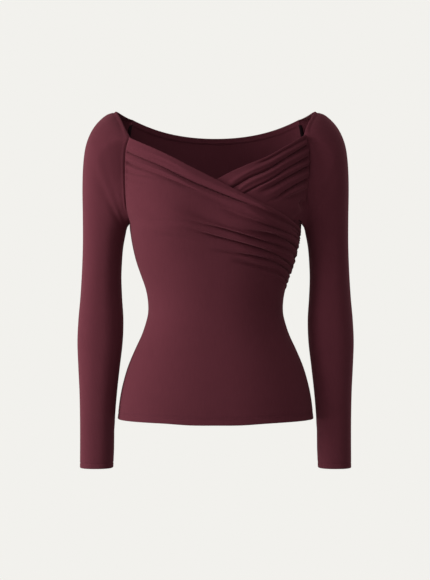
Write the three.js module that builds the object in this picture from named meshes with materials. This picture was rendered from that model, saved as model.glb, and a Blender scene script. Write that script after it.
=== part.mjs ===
// Wrap top in burgundy jersey, filled out as it is worn, with nothing inside.
// Millimetres. +Z is up, the front faces -Y, and the origin is midway between the two shoulder tops.
// The wearer's right is at -X. Each cut piece is one closed shell with its own thickness.

import * as THREE from 'three';

// Sizes

const WALL = 1.5;
const SEAM_GAP = 0.3;
const SLEEVE_CLEARANCE = 0.8;
const UNDERLAP_SIDE_INSET = 2.4;
const ROUNDNESS = 2.4;
const UNDERARM_Z = -190.4;
const UNDERARM_X = 146.5;
const HEM_Z = -522;
const SHOULDER_X = 168.3;
const BUST_X = 78;
const BUST_Z = -172;
const BUST_RISE = 10;
const BUST_WIDTH = 54;
const BUST_HEIGHT = 56;
const BACK_NECK_DIP = 28.9;
const SIDE = Math.PI / 2;
const DEGREE = Math.PI / 180;

const OVERLAP_COLUMNS = 32;
const UNDERLAP_COLUMNS = 20;
const BACK_COLUMNS = 16;

const JERSEY = new THREE.Color(0x4f2830);

// Torso form by height: half width at the side seams, reach of the front and reach of the back

const TORSO = [
  { z: 20, half: 170, front: 76, back: 70 },
  { z: 0, half: 168, front: 82, back: 82 },
  { z: -50, half: 166, front: 92, back: 96 },
  { z: -100, half: 165.5, front: 102, back: 101 },
  { z: -140, half: 163, front: 111, back: 100 },
  { z: -170, half: 155, front: 116.5, back: 97 },
  { z: -189, half: 146.6, front: 116, back: 94 },
  { z: -201, half: 145.2, front: 114.5, back: 92 },
  { z: -228, half: 140.9, front: 108, back: 87.5 },
  { z: -255, half: 134.4, front: 101.5, back: 82.5 },
  { z: -282, half: 125, front: 96.5, back: 78 },
  { z: -296, half: 120, front: 94.5, back: 76 },
  { z: -309, half: 116.7, front: 92.5, back: 75 },
  { z: -323, half: 114.7, front: 91, back: 74.5 },
  { z: -337, half: 114.3, front: 90, back: 75 },
  { z: -350, half: 116.1, front: 90, back: 76.5 },
  { z: -377, half: 124.6, front: 91, back: 80.5 },
  { z: -405, half: 137.4, front: 93, back: 86.5 },
  { z: -432, half: 148.6, front: 96, back: 93 },
  { z: -459, half: 156.6, front: 99, back: 99 },
  { z: -486, half: 162.2, front: 102, back: 104.5 },
  { z: -522, half: 166.3, front: 104, back: 109 },
  { z: -540, half: 168, front: 105, back: 111 },
];

// Armhole seams from the top down to the underarm, one row for each seam point of the sleeve.
// x is the distance from the middle and inset is how far the seam sinks below the torso form.

const FRONT_ARMHOLE_RIGHT = [
  { x: 144.4, z: -49.3, inset: 0 },
  { x: 149.4, z: -65.2, inset: 0 },
  { x: 151.0, z: -80.2, inset: 0 },
  { x: 151.4, z: -97.7, inset: 0 },
  { x: 151.3, z: -114.4, inset: 0 },
  { x: 150.9, z: -131.0, inset: 0 },
  { x: 150.4, z: -146.0, inset: 0 },
  { x: 149.5, z: -159.5, inset: 0 },
  { x: 148.2, z: -170.0, inset: 0 },
  { x: 146.5, z: -178.4, inset: 0 },
  { x: 145.5, z: -184.4, inset: 0 },
  { x: 145.7, z: -188.3, inset: 0 },
  { x: UNDERARM_X, z: UNDERARM_Z, inset: 0 },
];

const FRONT_ARMHOLE_LEFT = [
  { x: 150.2, z: -44.6, inset: 0 },
  { x: 153.9, z: -55.5, inset: 0 },
  { x: 155.7, z: -67.5, inset: 0 },
  { x: 156.6, z: -81.5, inset: 0 },
  { x: 156.9, z: -92.0, inset: 0 },
  { x: 156.3, z: -104.5, inset: 0 },
  { x: 155.0, z: -118.8, inset: 0 },
  { x: 153.1, z: -136.0, inset: 0 },
  { x: 151.4, z: -157.0, inset: 0.2 },
  { x: 146.6, z: -174.5, inset: 0.8 },
  { x: 140.0, z: -184.5, inset: 1.2 },
  { x: 142.6, z: -189.6, inset: 0.8 },
  { x: UNDERARM_X, z: UNDERARM_Z, inset: 0 },
];

const BACK_ARMHOLE = [
  { x: 145.6, z: -8.3 },
  { x: 150.4, z: -29 },
  { x: 152.4, z: -52 },
  { x: 153.2, z: -75 },
  { x: 153.4, z: -98 },
  { x: 153.0, z: -121 },
  { x: 152.0, z: -143 },
  { x: 150.4, z: -163 },
  { x: 148.4, z: -179 },
  { x: UNDERARM_X, z: UNDERARM_Z },
];

// Neck edge of each sleeve over the shoulder, between its front and back seam tops

const SLEEVE_NECK = [
  { x: 152.6, y: -42, z: -30.5 },
  { x: 161.0, y: -26, z: -13.2 },
  { x: SHOULDER_X, y: -2, z: 0 },
  { x: 158.2, y: 29, z: -4.2 },
];

// Rows of the overlap, one for each fold that runs across it: heights at the left end and at
// stations round the front, in degrees from the middle, down to the ruched side seam at 90

const OVERLAP_STATIONS = [-45, -22.5, 0, 22.5, 45, 67.5, 90];

const OVERLAP_ROWS = [
  { row: 0, name: 'neck edge', heights: [-76.5, -101, -122.5, -146, -172.3, -194, -205] },
  { row: 3, name: 'long fold', heights: [-98, -122.5, -141.6, -160.5, -183, -199.8, -212] },
  { row: 8, name: 'bust fold', heights: [-131.5, -146.5, -164.5, -184.5, -201.5, -214, -224] },
  { row: 12, name: 'first gather', heights: [-160, -173, -190, -204.5, -211, -224.5, -238] },
  { row: 16, name: 'second gather', heights: [-178, -187.3, -198.7, -212.2, -226.3, -237, -247] },
  { row: 20, name: 'third gather', heights: [-195.5, -202.4, -214.8, -225.8, -238.5, -254.7, -267] },
  { row: 25, name: 'fourth gather', heights: [-219, -227.6, -237, -244, -252.5, -266.7, -279] },
  { row: 28, name: 'last gather', heights: [-241.5, -246, -250.5, -256.9, -266.8, -281, -294] },
  { row: 33, name: 'waist', heights: [-317, -319, -321, -324, -328, -332, -336] },
  { row: 40, name: 'hem', heights: [HEM_Z, HEM_Z, HEM_Z, HEM_Z, HEM_Z, HEM_Z, HEM_Z] },
];

const OVERLAP_LEFT_BELOW = [UNDERARM_Z, -201, -213, -225, -237, -251, -266, -282, -298, -315, -333, -351,
  -372, -397, -430, -472, HEM_Z];

// Folds of the overlap: the row each starts and ends at, from and to in degrees, how deep and how
// many rows wide. A negative depth is a ridge.

const OVERLAP_FOLDS = [
  { start: 1.2, end: 0.9, from: -70, to: 64, depth: -1.2, width: 1.1, fade: 10 },
  { start: 3.0, end: 3.0, from: -72, to: 22, depth: 3.2, width: 0.8, fade: 18 },
  { start: 2.6, end: 2.0, from: 18, to: 84, depth: 2.0, width: 1.2, fade: 16 },
  { start: 5.1, end: 4.8, from: -72, to: -18, depth: 1.6, width: 0.8, fade: 14 },
  { start: 7.0, end: 5.4, from: -72, to: -44, depth: 1.3, width: 0.6, fade: 9 },
  { start: 8.4, end: 7.6, from: -72, to: -46, depth: 0.7, width: 0.7, fade: 10 },
  { start: 8.0, end: 8.2, from: 8, to: 60, depth: 1.4, width: 1.0, fade: 16 },
  { start: 6.4, end: 5.2, from: 26, to: 66, depth: -1.2, width: 1.0, fade: 14 },
  { start: 10.4, end: 10.2, from: 22, to: 76, depth: -1.5, width: 1.0, fade: 16 },
  { start: 12.4, end: 12.0, from: 28, to: 88, depth: 3.2, width: 1.0, fade: 16 },
  { start: 14.0, end: 14.0, from: 20, to: 84, depth: -1.6, width: 0.8, fade: 16 },
  { start: 16.0, end: 16.0, from: -24, to: 88, depth: 3.4, width: 0.9, fade: 26 },
  { start: 18.0, end: 18.0, from: 10, to: 86, depth: -1.6, width: 0.9, fade: 18 },
  { start: 20.0, end: 20.0, from: -22, to: 88, depth: 3.4, width: 0.9, fade: 26 },
  { start: 22.6, end: 22.6, from: 16, to: 86, depth: -1.6, width: 0.9, fade: 16 },
  { start: 25.0, end: 25.0, from: 4, to: 88, depth: 3.0, width: 0.9, fade: 22 },
  { start: 26.5, end: 26.5, from: 18, to: 86, depth: -1.4, width: 0.9, fade: 16 },
  { start: 28.0, end: 28.0, from: 12, to: 88, depth: 2.4, width: 0.9, fade: 20 },
  { start: 29.3, end: 29.3, from: 40, to: 88, depth: -0.9, width: 0.7, fade: 14 },
  { start: 18.4, end: 17.8, from: -50, to: -16, depth: 0.9, width: 0.9, fade: 14 },
];

// Rows of the underlap, from its neck edge down to its free lower edge behind the overlap

const UNDERLAP_STATIONS = [58, 44, 30, 15, 0, -22.5, -45, -67.5, -90];

const UNDERLAP_ROWS = [
  { row: 0, name: 'neck edge', heights: [-64.8, -83.5, -96.2, -109, -123.5, -146, -172, -192, -209] },
  { row: 3, name: 'first fold', heights: [-82.2, -101.5, -115, -132.5, -145, -164, -184, -200, -215] },
  { row: 6, name: 'second fold', heights: [-99.5, -118.8, -133.5, -150, -160, -176, -194, -208, -221] },
  { row: 9, name: 'third fold', heights: [-115, -132, -147, -161, -171, -185, -202, -214, -227] },
  { row: 12, name: 'fourth fold', heights: [-133.3, -152, -163, -173, -182, -195, -210, -222, -234] },
  { row: 14, name: 'fifth fold', heights: [-146.4, -163, -173, -182, -190, -202, -217, -229, -241] },
  { row: 18, name: 'armhole scoop', heights: [-172, -186, -193, -199, -205, -215, -229, -241, -252] },
  { row: 24, name: 'underarm', heights: [-199, -207, -213, -218, -223, -231, -243, -254, -264] },
  { row: 27, name: 'lower edge', heights: [-222, -227, -232, -236, -240, -247, -257, -267, -276] },
];

const UNDERLAP_SIDE_BELOW = [-190.4, -200.5, -212, -224];

// Folds of the underlap, as for the overlap, in degrees from the armhole down to the crossing

const UNDERLAP_FOLDS = [
  { start: 1.4, end: 1.0, from: 74, to: 36, depth: 1.3, width: 0.7, fade: 8 },
  { start: 2.0, end: 2.1, from: 74, to: 10, depth: -2.2, width: 0.7, fade: 10 },
  { start: 3.1, end: 3.1, from: 74, to: 6, depth: 2.6, width: 0.8, fade: 10 },
  { start: 4.3, end: 4.8, from: 74, to: 16, depth: -2.2, width: 0.8, fade: 10 },
  { start: 6.1, end: 6.2, from: 74, to: 15, depth: 2.4, width: 0.8, fade: 10 },
  { start: 7.6, end: 7.6, from: 74, to: 28, depth: -1.8, width: 0.8, fade: 12 },
  { start: 9.0, end: 9.2, from: 74, to: 32, depth: 2.2, width: 0.9, fade: 12 },
  { start: 11.0, end: 10.8, from: 74, to: 36, depth: -1.8, width: 0.9, fade: 12 },
  { start: 12.5, end: 12.2, from: 74, to: 40, depth: 1.8, width: 0.9, fade: 12 },
  { start: 14.6, end: 14.4, from: 72, to: 50, depth: 1.2, width: 0.8, fade: 10 },
];

// Soft folds of the back: from the armholes towards the spine, and across the small of the back

const BACK_FOLDS = [
  { x: 118, z: -120, along: 60, across: 7, turn: 0.55, depth: 2.2 },
  { x: 112, z: -158, along: 56, across: 7, turn: 0.42, depth: 2.4 },
  { x: 60, z: -300, along: 58, across: 8, turn: 0.16, depth: 2.2 },
  { x: 48, z: -330, along: 66, across: 9, turn: 0.05, depth: 2.6 },
  { x: 66, z: -360, along: 54, across: 8, turn: -0.14, depth: 2.0 },
];

const BACK_BELOW = [UNDERARM_Z, -208, -228, -248, -268, -288, -306, -322, -338, -355, -376, -402, -434,
  -474, HEM_Z];

// Sleeve rings from the shoulder to the cuff: outer and inner points of each ring in the front view,
// half its depth from front to back, and how far its middle is set back

const SLEEVE_RINGS = [
  { outX: SHOULDER_X, outZ: 0, inX: UNDERARM_X, inZ: UNDERARM_Z, half: 54, back: 0 },
  { outX: 184.0, outZ: -3.5, inX: 147.7, inZ: -193.0, half: 55, back: 0 },
  { outX: 198.0, outZ: -13.6, inX: 148.8, inZ: -195.6, half: 55, back: 0 },
  { outX: 209.4, outZ: -27.0, inX: 150.0, inZ: -198.6, half: 54, back: 0 },
  { outX: 217.8, outZ: -44.2, inX: 151.3, inZ: -202.4, half: 53, back: 0 },
  { outX: 222.9, outZ: -65.5, inX: 152.4, inZ: -207.5, half: 51.5, back: 1 },
  { outX: 225.4, outZ: -96.0, inX: 153.7, inZ: -214.2, half: 50, back: 1 },
  { outX: 226.2, outZ: -134.0, inX: 155.4, inZ: -223.5, half: 48, back: 2 },
  { outX: 225.6, outZ: -178.0, inX: 157.2, inZ: -236.0, half: 46, back: 3 },
  { outX: 225.6, outZ: -224.0, inX: 158.9, inZ: -256.0, half: 44, back: 4 },
  { outX: 227.2, outZ: -270.0, inX: 159.9, inZ: -283.0, half: 42.5, back: 5 },
  { outX: 230.0, outZ: -315.0, inX: 158.8, inZ: -317.0, half: 41.5, back: 5 },
  { outX: 233.4, outZ: -353.0, inX: 157.0, inZ: -353.0, half: 41, back: 4 },
  { outX: 235.1, outZ: -391.0, inX: 158.1, inZ: -391.0, half: 40, back: 2 },
  { outX: 233.5, outZ: -434.0, inX: 162.8, inZ: -434.0, half: 38, back: -2 },
  { outX: 231.4, outZ: -476.0, inX: 167.4, inZ: -476.0, half: 35.5, back: -6 },
  { outX: 230.4, outZ: -520.0, inX: 171.0, inZ: -520.0, half: 33, back: -10 },
  { outX: 230.2, outZ: -563.0, inX: 172.3, inZ: -563.0, half: 31, back: -13 },
  { outX: 230.2, outZ: -605.2, inX: 174.0, inZ: -605.2, half: 29.5, back: -16 },
];

// Ring angles in degrees from the inner point: along the front seam, the neck edge and the back seam

const FRONT_SEAM_ANGLES = [120, 110, 100, 90, 80, 69, 58, 47, 36, 26, 17, 8, 0];
const NECK_ANGLES = [137, 158, 180, 193];
const BACK_SEAM_ANGLES = [205, 221, 238, 255, 272, 289, 306, 323, 341, 360];
const SHOULDER_RINGS = 7;

// Small helpers

const lerp = (a, b, t) => a + (b - a) * t;

function smooth(low, high, value) {
  const t = Math.min(1, Math.max(0, (value - low) / (high - low)));
  return t * t * (3 - 2 * t);
}

// Cubic curve through the rows of a table, read at one place
function readCurve(places, values, at) {
  const last = places.length - 1;
  const rising = places[last] > places[0] ? 1 : -1;
  let i = 0;
  while (i < last - 1 && (at - places[i + 1]) * rising > 0) i += 1;
  const span = places[i + 1] - places[i];
  const t = Math.min(1, Math.max(0, (at - places[i]) / span));
  const slope = (k) => {
    const before = Math.max(0, k - 1);
    const after = Math.min(last, k + 1);
    return (values[after] - values[before]) / (places[after] - places[before]);
  };
  const t2 = t * t;
  const t3 = t2 * t;
  return values[i] * (2 * t3 - 3 * t2 + 1) + slope(i) * span * (t3 - 2 * t2 + t)
    + values[i + 1] * (3 * t2 - 2 * t3) + slope(i + 1) * span * (t3 - t2);
}

const TORSO_Z = TORSO.map((row) => row.z);
const TORSO_HALF = TORSO.map((row) => row.half);
const TORSO_FRONT = TORSO.map((row) => row.front);
const TORSO_BACK = TORSO.map((row) => row.back);

function bustRise(x, z, half) {
  const dz = (z - BUST_Z) / BUST_HEIGHT;
  const one = Math.exp(-(((x - BUST_X) / BUST_WIDTH) ** 2) - dz * dz);
  const other = Math.exp(-(((x + BUST_X) / BUST_WIDTH) ** 2) - dz * dz);
  const fade = Math.min(1, Math.max(0, (1 - Math.abs(x) / half) * 6));
  return BUST_RISE * (one + other) * fade;
}

// Point of the torso form at an angle round it (0 is the middle of the front) and a height
function torso(angle, z, inset = 0) {
  const half = readCurve(TORSO_Z, TORSO_HALF, z) - inset;
  const front = Math.abs(angle) <= SIDE;
  const reach = readCurve(TORSO_Z, front ? TORSO_FRONT : TORSO_BACK, z) - inset;
  const sin = Math.sin(angle);
  const cos = Math.cos(angle);
  const radius = (Math.abs(sin / half) ** ROUNDNESS + Math.abs(cos / reach) ** ROUNDNESS)
    ** (-1 / ROUNDNESS);
  const x = radius * sin;
  const y = -radius * cos - (front ? bustRise(x, z, half) : 0);
  return new THREE.Vector3(x, y, z);
}

// Angle between -180 and 180 degrees, measured from the middle of the front
function seamAngle(x, z, front) {
  const half = readCurve(TORSO_Z, TORSO_HALF, z);
  const reach = readCurve(TORSO_Z, front ? TORSO_FRONT : TORSO_BACK, z);
  const share = Math.min(1, Math.abs(x) / half);
  const depth = reach * (1 - share ** ROUNDNESS) ** (1 / ROUNDNESS);
  return Math.atan2(x, front ? depth : -depth);
}

// Depth of all the folds of a table at a row and an angle
function foldDepth(folds, row, degrees) {
  let depth = 0;
  for (const fold of folds) {
    const run = (degrees - fold.from) / (fold.to - fold.from);
    const middle = lerp(fold.start, fold.end, Math.min(1, Math.max(0, run)));
    const off = (row - middle) / fold.width;
    const ease = fold.fade / Math.abs(fold.to - fold.from);
    const length = smooth(0, ease, run) * smooth(0, ease, 1 - run);
    depth += fold.depth * length * Math.exp(-off * off);
  }
  return depth;
}

// Seam points. Odd rows of a panel lie halfway between two seam points of the sleeve.

function armholePoints(rows, side, front) {
  return rows.map(({ x, z, inset = 0 }) => {
    const angle = seamAngle(side * x, z, front);
    return torso(angle, z, inset);
  });
}

const RIGHT_FRONT_SEAM = armholePoints(FRONT_ARMHOLE_RIGHT, -1, true);
const LEFT_FRONT_SEAM = armholePoints(FRONT_ARMHOLE_LEFT, 1, true);
const RIGHT_BACK_SEAM = armholePoints(BACK_ARMHOLE, -1, false);
const LEFT_BACK_SEAM = armholePoints(BACK_ARMHOLE, 1, false);

function seamRow(seam, row) {
  const low = Math.floor(row / 2);
  if (row % 2 === 0) return seam[low].clone();
  return seam[low].clone().add(seam[low + 1]).multiplyScalar(0.5);
}

const angleOf = (point) => Math.atan2(point.x, -point.y);

// Outward normals of a grid of points, from its neighbours along both ways
function gridNormals(grid, closed) {
  const rows = grid.length;
  const columns = grid[0].length;
  return grid.map((line, i) => line.map((_, j) => {
    const up = grid[Math.max(0, i - 1)][j];
    const down = grid[Math.min(rows - 1, i + 1)][j];
    const before = line[closed ? (j + columns - 1) % columns : Math.max(0, j - 1)];
    const after = line[closed ? (j + 1) % columns : Math.min(columns - 1, j + 1)];
    const along = new THREE.Vector3().subVectors(after, before);
    const fall = new THREE.Vector3().subVectors(down, up);
    return fall.cross(along).normalize();
  }));
}

// Moves the rim of a grid back along itself, so that sewn edges stay apart by the seam gap
function pullBack(edge, inner, distance = SEAM_GAP / 2) {
  const step = new THREE.Vector3().subVectors(inner, edge).normalize();
  edge.addScaledVector(step, distance);
}

// Closed shell of a grid: the outer wall, the inner wall at the cloth's thickness, and the rims
function clothShell(name, grid, { closed = false, flip = false } = {}) {
  const rows = grid.length;
  const columns = grid[0].length;
  const turn = flip ? -1 : 1;
  const normals = gridNormals(grid, closed);
  const positions = [];
  grid.forEach((line) => line.forEach((p) => positions.push(p.x, p.y, p.z)));
  grid.forEach((line, i) => line.forEach((p, j) => {
    const q = p.clone().addScaledVector(normals[i][j], -WALL * turn);
    positions.push(q.x, q.y, q.z);
  }));
  const indices = [];
  const quad = (a, b, c, d) => {
    if (flip) indices.push(a, c, b, a, d, c);
    else indices.push(a, b, c, a, c, d);
  };
  const outer = (i, j) => i * columns + (j % columns);
  const inner = (i, j) => rows * columns + outer(i, j);
  const spans = closed ? columns : columns - 1;
  for (let i = 0; i < rows - 1; i += 1) {
    for (let j = 0; j < spans; j += 1) {
      quad(outer(i, j), outer(i + 1, j), outer(i + 1, j + 1), outer(i, j + 1));
      quad(inner(i, j), inner(i, j + 1), inner(i + 1, j + 1), inner(i + 1, j));
    }
  }
  for (let j = 0; j < spans; j += 1) {
    quad(outer(0, j), outer(0, j + 1), inner(0, j + 1), inner(0, j));
    quad(outer(rows - 1, j), inner(rows - 1, j), inner(rows - 1, j + 1), outer(rows - 1, j + 1));
  }
  if (!closed) {
    const last = columns - 1;
    for (let i = 0; i < rows - 1; i += 1) {
      quad(outer(i, 0), inner(i, 0), inner(i + 1, 0), outer(i + 1, 0));
      quad(outer(i, last), outer(i + 1, last), inner(i + 1, last), inner(i, last));
    }
  }
  const geometry = new THREE.BufferGeometry();
  geometry.setAttribute('position', new THREE.Float32BufferAttribute(positions, 3));
  geometry.setIndex(indices);
  geometry.computeVertexNormals();
  const material = new THREE.MeshStandardMaterial({ color: JERSEY, roughness: 0.92, metalness: 0 });
  const mesh = new THREE.Mesh(geometry, material);
  mesh.name = name;
  return mesh;
}

// Adds the folds to a grid that lies on the plain form, along the form's own normals
function addFolds(grid, depthAt) {
  const normals = gridNormals(grid, false);
  return grid.map((line, i) => line.map((p, j) => (
    p.clone().addScaledVector(normals[i][j], -depthAt(i, j, p)))));
}

// Front overlap

const ARMHOLE_ROWS = 2 * (FRONT_ARMHOLE_RIGHT.length - 1);
const OVERLAP_ROW_COUNT = ARMHOLE_ROWS + OVERLAP_LEFT_BELOW.length;
const OVERLAP_ROW_NUMBERS = OVERLAP_ROWS.map((r) => r.row);

function guideHeights(rows, numbers, stations, row) {
  return stations.map((_, s) => readCurve(numbers, rows.map((r) => r.heights[s]), row));
}

function overlapLeft(row) {
  if (row <= ARMHOLE_ROWS) return seamRow(RIGHT_FRONT_SEAM, row);
  return torso(-SIDE, OVERLAP_LEFT_BELOW[row - ARMHOLE_ROWS]);
}

function overlapGrid() {
  const grid = [];
  for (let row = 0; row < OVERLAP_ROW_COUNT; row += 1) {
    const left = overlapLeft(row);
    const leftDegrees = angleOf(left) / DEGREE;
    const places = [leftDegrees, ...OVERLAP_STATIONS];
    const heights = [left.z, ...guideHeights(OVERLAP_ROWS, OVERLAP_ROW_NUMBERS, OVERLAP_STATIONS, row)];
    const line = [left];
    for (let column = 1; column <= OVERLAP_COLUMNS; column += 1) {
      const degrees = lerp(leftDegrees, 90, column / OVERLAP_COLUMNS);
      line.push(torso(degrees * DEGREE, readCurve(places, heights, degrees)));
    }
    grid.push(line);
  }
  return grid;
}

function frontOverlap() {
  const grid = addFolds(overlapGrid(), (row, _, p) => {
    const degrees = angleOf(p) / DEGREE;
    return foldDepth(OVERLAP_FOLDS, row, degrees);
  });
  grid.forEach((line) => {
    pullBack(line[0], line[1]);
    pullBack(line[line.length - 1], line[line.length - 2]);
  });
  return clothShell('front_overlap', grid);
}

// Front underlap. It sinks below the form where it goes behind the overlap.

const UNDERLAP_ROW_COUNT = ARMHOLE_ROWS + UNDERLAP_SIDE_BELOW.length;
const UNDERLAP_ROW_NUMBERS = UNDERLAP_ROWS.map((r) => r.row);
const NECK_PLACES = [-67.6, ...OVERLAP_STATIONS];
const NECK_HEIGHTS = [-49.3, ...OVERLAP_ROWS[0].heights];

function underlapRight(row) {
  if (row <= ARMHOLE_ROWS) return seamRow(LEFT_FRONT_SEAM, row);
  return torso(SIDE - 0.02, UNDERLAP_SIDE_BELOW[row - ARMHOLE_ROWS], UNDERLAP_SIDE_INSET);
}

function underlapSeamInset(row) {
  if (row > ARMHOLE_ROWS) return UNDERLAP_SIDE_INSET;
  const low = FRONT_ARMHOLE_LEFT[Math.floor(row / 2)].inset;
  const high = FRONT_ARMHOLE_LEFT[Math.ceil(row / 2)].inset;
  return (low + high) / 2;
}

// How far the underlap lies below the form: below is measured from the overlap's neck edge
function underlapInset(row, below, fromSeam, degrees) {
  const visible = lerp(1.2, 3.4, smooth(-55, -4, below));
  const hidden = Math.min(9, 3.4 + Math.max(0, below) * 0.25);
  const open = below > 0 ? hidden : visible;
  const middle = lerp(UNDERLAP_SIDE_INSET, open, smooth(-86, -66, degrees));
  return lerp(underlapSeamInset(row), middle, smooth(0, 16, fromSeam));
}

function underlapGrid() {
  const grid = [];
  for (let row = 0; row < UNDERLAP_ROW_COUNT; row += 1) {
    const right = underlapRight(row);
    const rightDegrees = angleOf(right) / DEGREE;
    const places = [rightDegrees, ...UNDERLAP_STATIONS];
    const heights = [right.z, ...guideHeights(UNDERLAP_ROWS, UNDERLAP_ROW_NUMBERS, UNDERLAP_STATIONS, row)];
    const line = [right];
    for (let column = 1; column <= UNDERLAP_COLUMNS; column += 1) {
      const share = column / UNDERLAP_COLUMNS;
      const degrees = lerp(rightDegrees, -88, lerp(share, share * share, 0.55));
      const z = readCurve(places, heights, degrees);
      const below = readCurve(NECK_PLACES, NECK_HEIGHTS, degrees) - z;
      const plain = torso(degrees * DEGREE, z);
      const inset = underlapInset(row, below, plain.distanceTo(right), degrees);
      line.push(torso(degrees * DEGREE, z, inset));
    }
    grid.push(line);
  }
  return grid;
}

function frontUnderlap() {
  const grid = addFolds(underlapGrid(), (row, _, p) => {
    const degrees = angleOf(p) / DEGREE;
    return foldDepth(UNDERLAP_FOLDS, row, degrees);
  });
  grid.forEach((line, row) => {
    const nearUnderarm = smooth(ARMHOLE_ROWS - 7, ARMHOLE_ROWS - 2, row);
    pullBack(line[0], line[1], lerp(SEAM_GAP / 2, 4 * SEAM_GAP, nearUnderarm));
  });
  return clothShell('front_underlap', grid, { flip: true });
}

// Back

const BACK_ARMHOLE_ROWS = BACK_ARMHOLE.length - 1;
const BACK_ROW_COUNT = BACK_ARMHOLE_ROWS + BACK_BELOW.length;

function backEdge(side, row) {
  const seam = side < 0 ? RIGHT_BACK_SEAM : LEFT_BACK_SEAM;
  if (row <= BACK_ARMHOLE_ROWS) return seam[row].clone();
  return torso(side * (SIDE + 1e-6), BACK_BELOW[row - BACK_ARMHOLE_ROWS]);
}

function backGrid() {
  const grid = [];
  for (let row = 0; row < BACK_ROW_COUNT; row += 1) {
    const edge = backEdge(1, row);
    const edgeAngle = angleOf(edge);
    const dip = BACK_NECK_DIP * (1 - smooth(0, BACK_ARMHOLE_ROWS, row));
    const line = [];
    for (let column = 0; column <= BACK_COLUMNS; column += 1) {
      const angle = lerp(edgeAngle, 2 * Math.PI - edgeAngle, column / BACK_COLUMNS);
      const wrapped = angle > Math.PI ? angle - 2 * Math.PI : angle;
      const across = torso(wrapped, edge.z).x / edge.x;
      line.push(torso(wrapped, edge.z - dip * Math.max(0, 1 - across * across)));
    }
    line[0] = edge;
    line[BACK_COLUMNS] = backEdge(-1, row);
    grid.push(line);
  }
  return grid;
}

function backFoldDepth(p) {
  let depth = 0;
  for (const fold of BACK_FOLDS) {
    for (const side of [-1, 1]) {
      const dx = side * p.x - fold.x;
      const dz = p.z - fold.z;
      const along = dx * Math.cos(fold.turn) + dz * Math.sin(fold.turn);
      const across = dz * Math.cos(fold.turn) - dx * Math.sin(fold.turn);
      depth += fold.depth * Math.exp(-((along / fold.along) ** 2) - (across / fold.across) ** 2);
    }
  }
  return depth * smooth(0, 40, p.y);
}

function back() {
  const grid = addFolds(backGrid(), (_, __, p) => backFoldDepth(p));
  grid.forEach((line) => {
    pullBack(line[0], line[1]);
    pullBack(line[BACK_COLUMNS], line[BACK_COLUMNS - 1]);
  });
  return clothShell('back', grid);
}

// Sleeves

const RING_ANGLES = [
  ...FRONT_SEAM_ANGLES.slice().reverse(),
  ...NECK_ANGLES,
  ...BACK_SEAM_ANGLES.slice(0, -1),
];

// First ring of a sleeve: up the front seam, over the shoulder and down the back seam
function armholeRing(side) {
  const front = side < 0 ? RIGHT_FRONT_SEAM : LEFT_FRONT_SEAM;
  const rear = side < 0 ? RIGHT_BACK_SEAM : LEFT_BACK_SEAM;
  const neck = SLEEVE_NECK.map(({ x, y, z }) => new THREE.Vector3(side * x, y, z));
  return [
    ...front.slice().reverse(),
    ...neck,
    ...rear.slice(0, -1),
  ].map((p) => p.clone());
}

function ellipsePoint(ring, side, degrees) {
  const angle = degrees * DEGREE;
  const share = (1 - Math.cos(angle)) / 2;
  const x = side * lerp(ring.inX, ring.outX, share);
  const z = lerp(ring.inZ, ring.outZ, share);
  return new THREE.Vector3(x, ring.back - ring.half * Math.sin(angle), z);
}

// Keeps the sleeve outside the torso form, by more the farther it is from the armhole seam
function clearOfTorso(p, clearance) {
  const form = torso(angleOf(p), p.z);
  const reach = Math.hypot(form.x, form.y) + clearance;
  const now = Math.hypot(p.x, p.y);
  if (now >= reach) return;
  p.x *= reach / now;
  p.y *= reach / now;
}

function sleeve(name, side) {
  const first = armholeRing(side);
  const shift = first.map((p, j) => p.clone().sub(ellipsePoint(SLEEVE_RINGS[0], side, RING_ANGLES[j])));
  const grid = SLEEVE_RINGS.map((ring, k) => RING_ANGLES.map((degrees, j) => {
    const keep = Math.max(0, 1 - k / SHOULDER_RINGS) ** 2;
    const p = ellipsePoint(ring, side, degrees).addScaledVector(shift[j], keep);
    const sewn = j < FRONT_SEAM_ANGLES.length || j >= RING_ANGLES.length - BACK_SEAM_ANGLES.length + 1;
    if (k > 0 && sewn) clearOfTorso(p, Math.min(k, 5) * SLEEVE_CLEARANCE);
    return p;
  }));
  grid[0].forEach((p, j) => pullBack(p, grid[1][j]));
  return clothShell(name, grid, { closed: true, flip: side < 0 });
}

// The whole top

const top = new THREE.Group();
top.name = 'wrap_top';
top.add(frontOverlap());
top.add(frontUnderlap());
top.add(back());
top.add(sleeve('sleeve_right', -1));
top.add(sleeve('sleeve_left', 1));

export default top;
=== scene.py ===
import math

import bpy
import numpy as np
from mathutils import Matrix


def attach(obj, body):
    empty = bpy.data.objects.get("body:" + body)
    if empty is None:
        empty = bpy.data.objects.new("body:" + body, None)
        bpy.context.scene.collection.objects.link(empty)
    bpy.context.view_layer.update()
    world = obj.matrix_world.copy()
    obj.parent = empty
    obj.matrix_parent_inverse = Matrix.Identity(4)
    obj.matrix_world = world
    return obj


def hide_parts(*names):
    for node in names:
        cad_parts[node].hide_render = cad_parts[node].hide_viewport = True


bl_info = {
    "name": "Wrap top",
    "version": (1, 0, 0),
    "blender": (4, 5, 0),
    "location": "3D View > Sidebar > Wrap top",
    "description": "Cloth, stitching and stage of a long-sleeved jersey wrap top",
    "category": "Object",
}

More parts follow.
